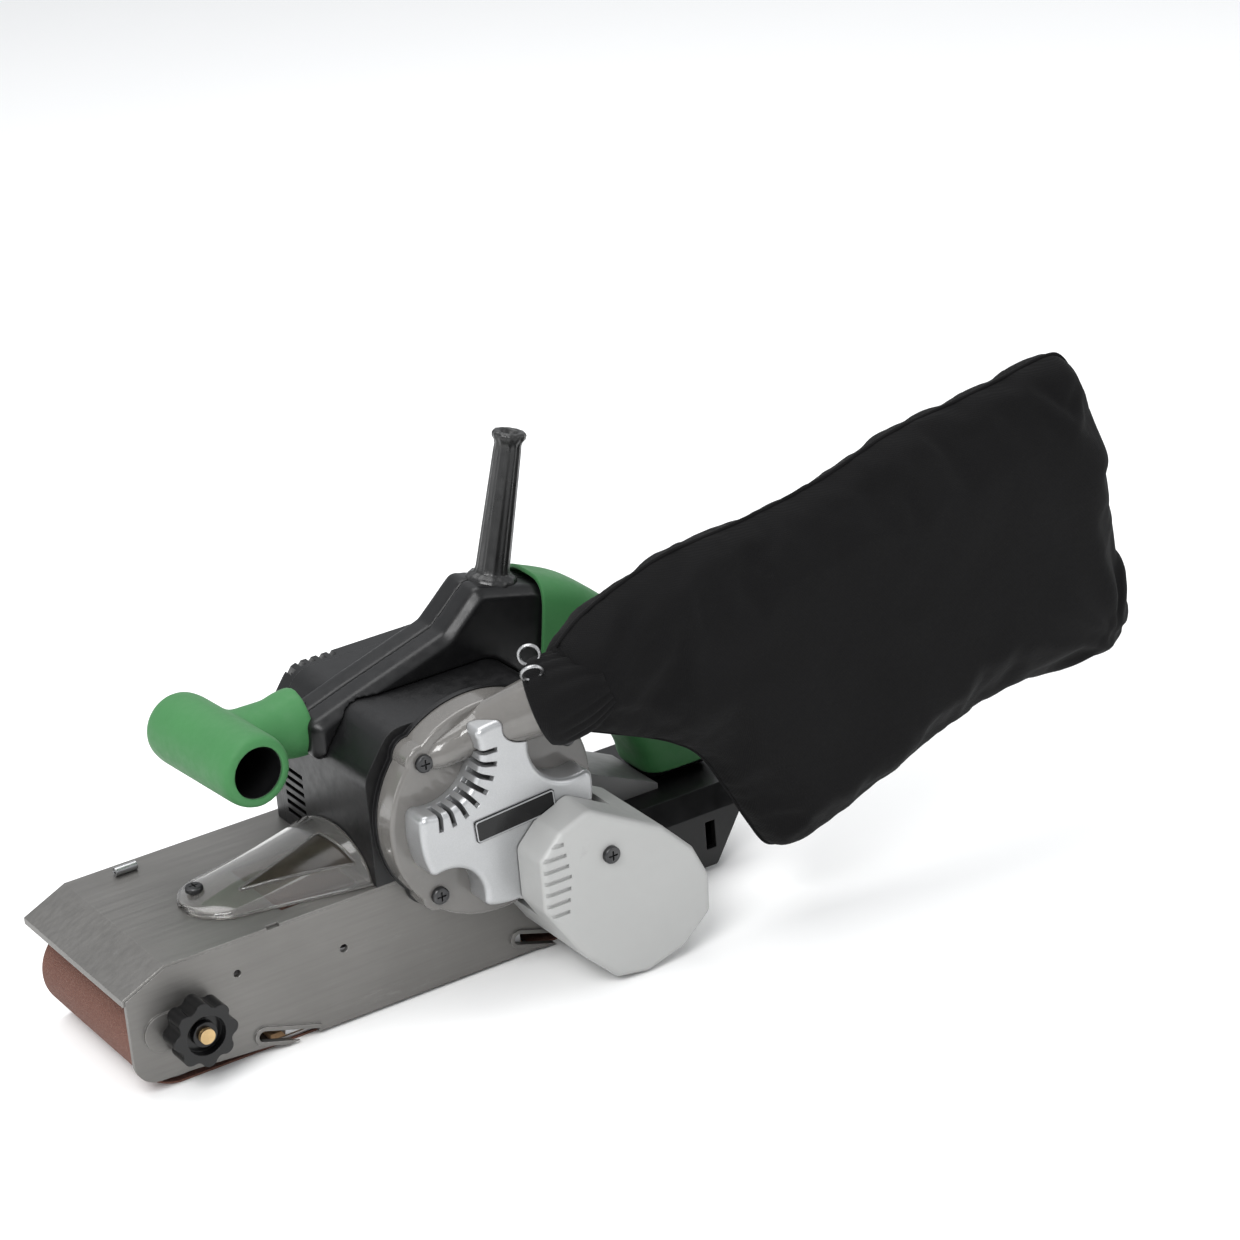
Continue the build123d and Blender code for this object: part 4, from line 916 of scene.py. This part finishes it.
def crease_bag(bag):
    """Broad sags and folds: from the mouth, at the corners and down the closed end."""
    for v in bag.data.vertices:
        x, z = v.co.x / MM, v.co.z / MM
        side = -1 if v.co.y < BAG_MID else 1
        away = math.hypot(x - MOUTH[0], z - MOUTH[1])
        angle = math.atan2(z - MOUTH[1], x - MOUTH[0])
        gather = math.exp(-away / 55) * 1.9 * math.sin(angle * 15 + noise.noise((x / 30, z / 30, 2)) * 2)
        ripple = math.sin(z / 9 + noise.noise((x / 25, z / 40, 5)) * 3)
        end = math.exp(-max(0, CLOSED_END - x) / 22) * 2.2 * ripple
        corner = math.hypot(x - CLOSED_CORNER[0], z - CLOSED_CORNER[1])
        turn = math.atan2(z - CLOSED_CORNER[1], x - CLOSED_CORNER[0])
        fan = math.exp(-corner / 45) * 2.6 * math.sin(turn * 9 + side)
        broad = 2.4 * noise.noise((x / 75, z / 55, side * 3.0))
        fine = 0.7 * noise.noise((x / 22 + side, z / 26, side * 7.0))
        v.co.y += side * (gather + end + fan + broad + fine) * MM


def puff_bag(bag):
    """A short pressure run of cloth so the panels tighten and wrinkle between their seams."""
    rest = [v.co.copy() for v in bag.data.vertices]
    group = bag.vertex_groups.new(name="held")
    for v in bag.data.vertices:
        held = v.co.x / MM < HELD_TO or abs(v.co.y - BAG_MID) < HELD_STRIP * MM
        group.add([v.index], 1.0 if held else 0.0, "REPLACE")
    cloth = bag.modifiers.new("cloth", "CLOTH")
    cloth.settings.quality = 5
    cloth.settings.mass = 0.15
    cloth.settings.tension_stiffness = 8
    cloth.settings.compression_stiffness = 8
    cloth.settings.bending_stiffness = 0.02
    cloth.settings.use_pressure = True
    cloth.settings.uniform_pressure_force = 3.0
    cloth.settings.shrink_min = -0.045
    cloth.settings.vertex_group_mass = "held"
    cloth.settings.effector_weights.gravity = 0
    cloth.collision_settings.use_collision = False
    cloth.point_cache.frame_start = 1
    cloth.point_cache.frame_end = CLOTH_FRAMES
    scene = bpy.context.scene
    for step in range(1, CLOTH_FRAMES + 1):
        scene.frame_set(step)
    apply_modifiers(bag)
    for v, before in zip(bag.data.vertices, rest):
        move = v.co - before
        if move.length > CLOTH_MOVE * MM:
            v.co = before + move * (CLOTH_MOVE * MM / move.length)
    scene.frame_set(1)


def bag_neck():
    """The gathered sleeve of the bag, drawn over the end of the duct."""
    profile = [(-9.5, 17.3), (-10.4, 18.6), (-9.6, 20.4), (-6.5, 21.7), (-4, 22.0), (-1.5, 21.9), (2, 21.6),
               (7, 20.9), (13, 19.6), (19, 17.2), (27, 13.0)]
    sides, folds, depth = 144, 17, 0.6
    folds_from, folds_full = -3, 3
    side, other = crosswise(DUCT_WAY)
    verts = []
    for i, (along, r) in enumerate(profile):
        for k in range(sides):
            ang = 2 * math.pi * k / sides
            wave = math.sin(folds * ang + math.sin(3 * ang) * 1.3 + i * 0.25)
            rr = (r + depth * wave * unit((along - folds_from) / (folds_full - folds_from))) * MM
            verts.append(DUCT_END + DUCT_WAY * along * MM
                         + (side * math.cos(ang) + other * math.sin(ang)) * rr)
    neck = new_object("bag_neck", verts, loft_faces(len(profile), sides), LOOKS["dust_bag"], "bag")
    walled(neck, 0.8, 1)


def dust_bag():
    bag = make_bag()
    crease_bag(bag)
    puff_bag(bag)
    smooth_shade(bag, LOOKS["dust_bag"])
    finer = bag.modifiers.new("finer", "SUBSURF")
    finer.levels = 1
    finer.render_levels = 1
    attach(bag, "bag")
    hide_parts("dust_bag")
    seam = [Vector((x, bag_middle(x), z)) * MM for x, z in smooth_line(BAG_LINE, 8)]
    tube_along("bag_seam", seam, 1.1, LOOKS["dust_bag"], "bag")
    bag_neck()


softened("handle_shell_near")
softened("handle_shell_far")
rear_grip()
front_grip()
cord_guard()
duct_skin()
springs()
dust_window()
window_facet()
badge_rim()
dust_bag()


# ---- floor, light and camera, in metres ---------------------------------------------
FLOOR_HALF, FLOOR_DROP = 4, 0.0002        # the floor lies just under the sole
CAMERA_AT = Vector((-0.7854, -1.6245, 0.9895))
CAMERA_AZIMUTH, CAMERA_ELEVATION, CAMERA_ROLL = (math.radians(a) for a in (-30.85, 24.26, 4.95))
IMAGE_SIDE = 1240
FOCAL_LENGTH = 4009.23                    # in pixels of an image of that side
SENSOR = 36.0


def stage_floor():
    m = Mat("floor", (0.93, 0.93, 0.925), 0.75)
    m.tint(m.noise(3, 3), (0.91, 0.91, 0.905), 0.4)
    corners = [(FLOOR_HALF * a, FLOOR_HALF * b, -FLOOR_DROP) for a, b in ((-1, -1), (1, -1), (1, 1), (-1, 1))]
    new_object("floor", corners, [(0, 1, 2, 3)], m.done(), None)


def area_light(name, where, target, size, power):
    data = bpy.data.lights.new(name, "AREA")
    data.shape = "RECTANGLE"
    data.size, data.size_y = size
    data.energy = power
    lamp = placed(name, data)
    lamp.location = where
    lamp.rotation_euler = (Vector(target) - Vector(where)).to_track_quat("-Z", "Y").to_euler()


def studio():
    """Four soft lamps, aimed at the machine, in a pale room."""
    area_light("key", (-1.0, -1.0, 1.5), (0.08, -0.05, 0.08), (0.9, 0.9), 30)
    area_light("fill", (1.6, -1.3, 1.0), (0.1, -0.05, 0.1), (1.6, 1.2), 10)
    area_light("top", (0.2, 0.5, 1.9), (0.1, 0.0, 0.1), (1.8, 1.4), 26)
    area_light("low", (-1.6, 0.4, 0.5), (0.0, 0.0, 0.08), (0.9, 0.7), 5)
    world = bpy.data.worlds.new("studio")
    bpy.context.scene.world = world
    world.use_nodes = True
    sky = world.node_tree.nodes["Background"]
    sky.inputs["Color"].default_value = (0.95, 0.97, 1.0, 1)
    sky.inputs["Strength"].default_value = 0.62
    bpy.context.scene.view_settings.view_transform = "Standard"


def camera():
    back = Vector((math.sin(CAMERA_AZIMUTH) * math.cos(CAMERA_ELEVATION),
                   -math.cos(CAMERA_AZIMUTH) * math.cos(CAMERA_ELEVATION), math.sin(CAMERA_ELEVATION)))
    level = (-back).cross(Vector((0, 0, 1))).normalized()
    down = (-back).cross(level)
    right = math.cos(CAMERA_ROLL) * level + math.sin(CAMERA_ROLL) * down
    up = math.sin(CAMERA_ROLL) * level - math.cos(CAMERA_ROLL) * down
    data = bpy.data.cameras.new("camera")
    data.sensor_width = SENSOR
    data.lens = FOCAL_LENGTH / IMAGE_SIDE * SENSOR
    data.clip_end = 50
    cam = placed("camera", data)
    turn = Matrix((right, up, back)).transposed()
    cam.matrix_world = Matrix.Translation(CAMERA_AT) @ turn.to_4x4()
    bpy.context.scene.camera = cam


stage_floor()
studio()
camera()
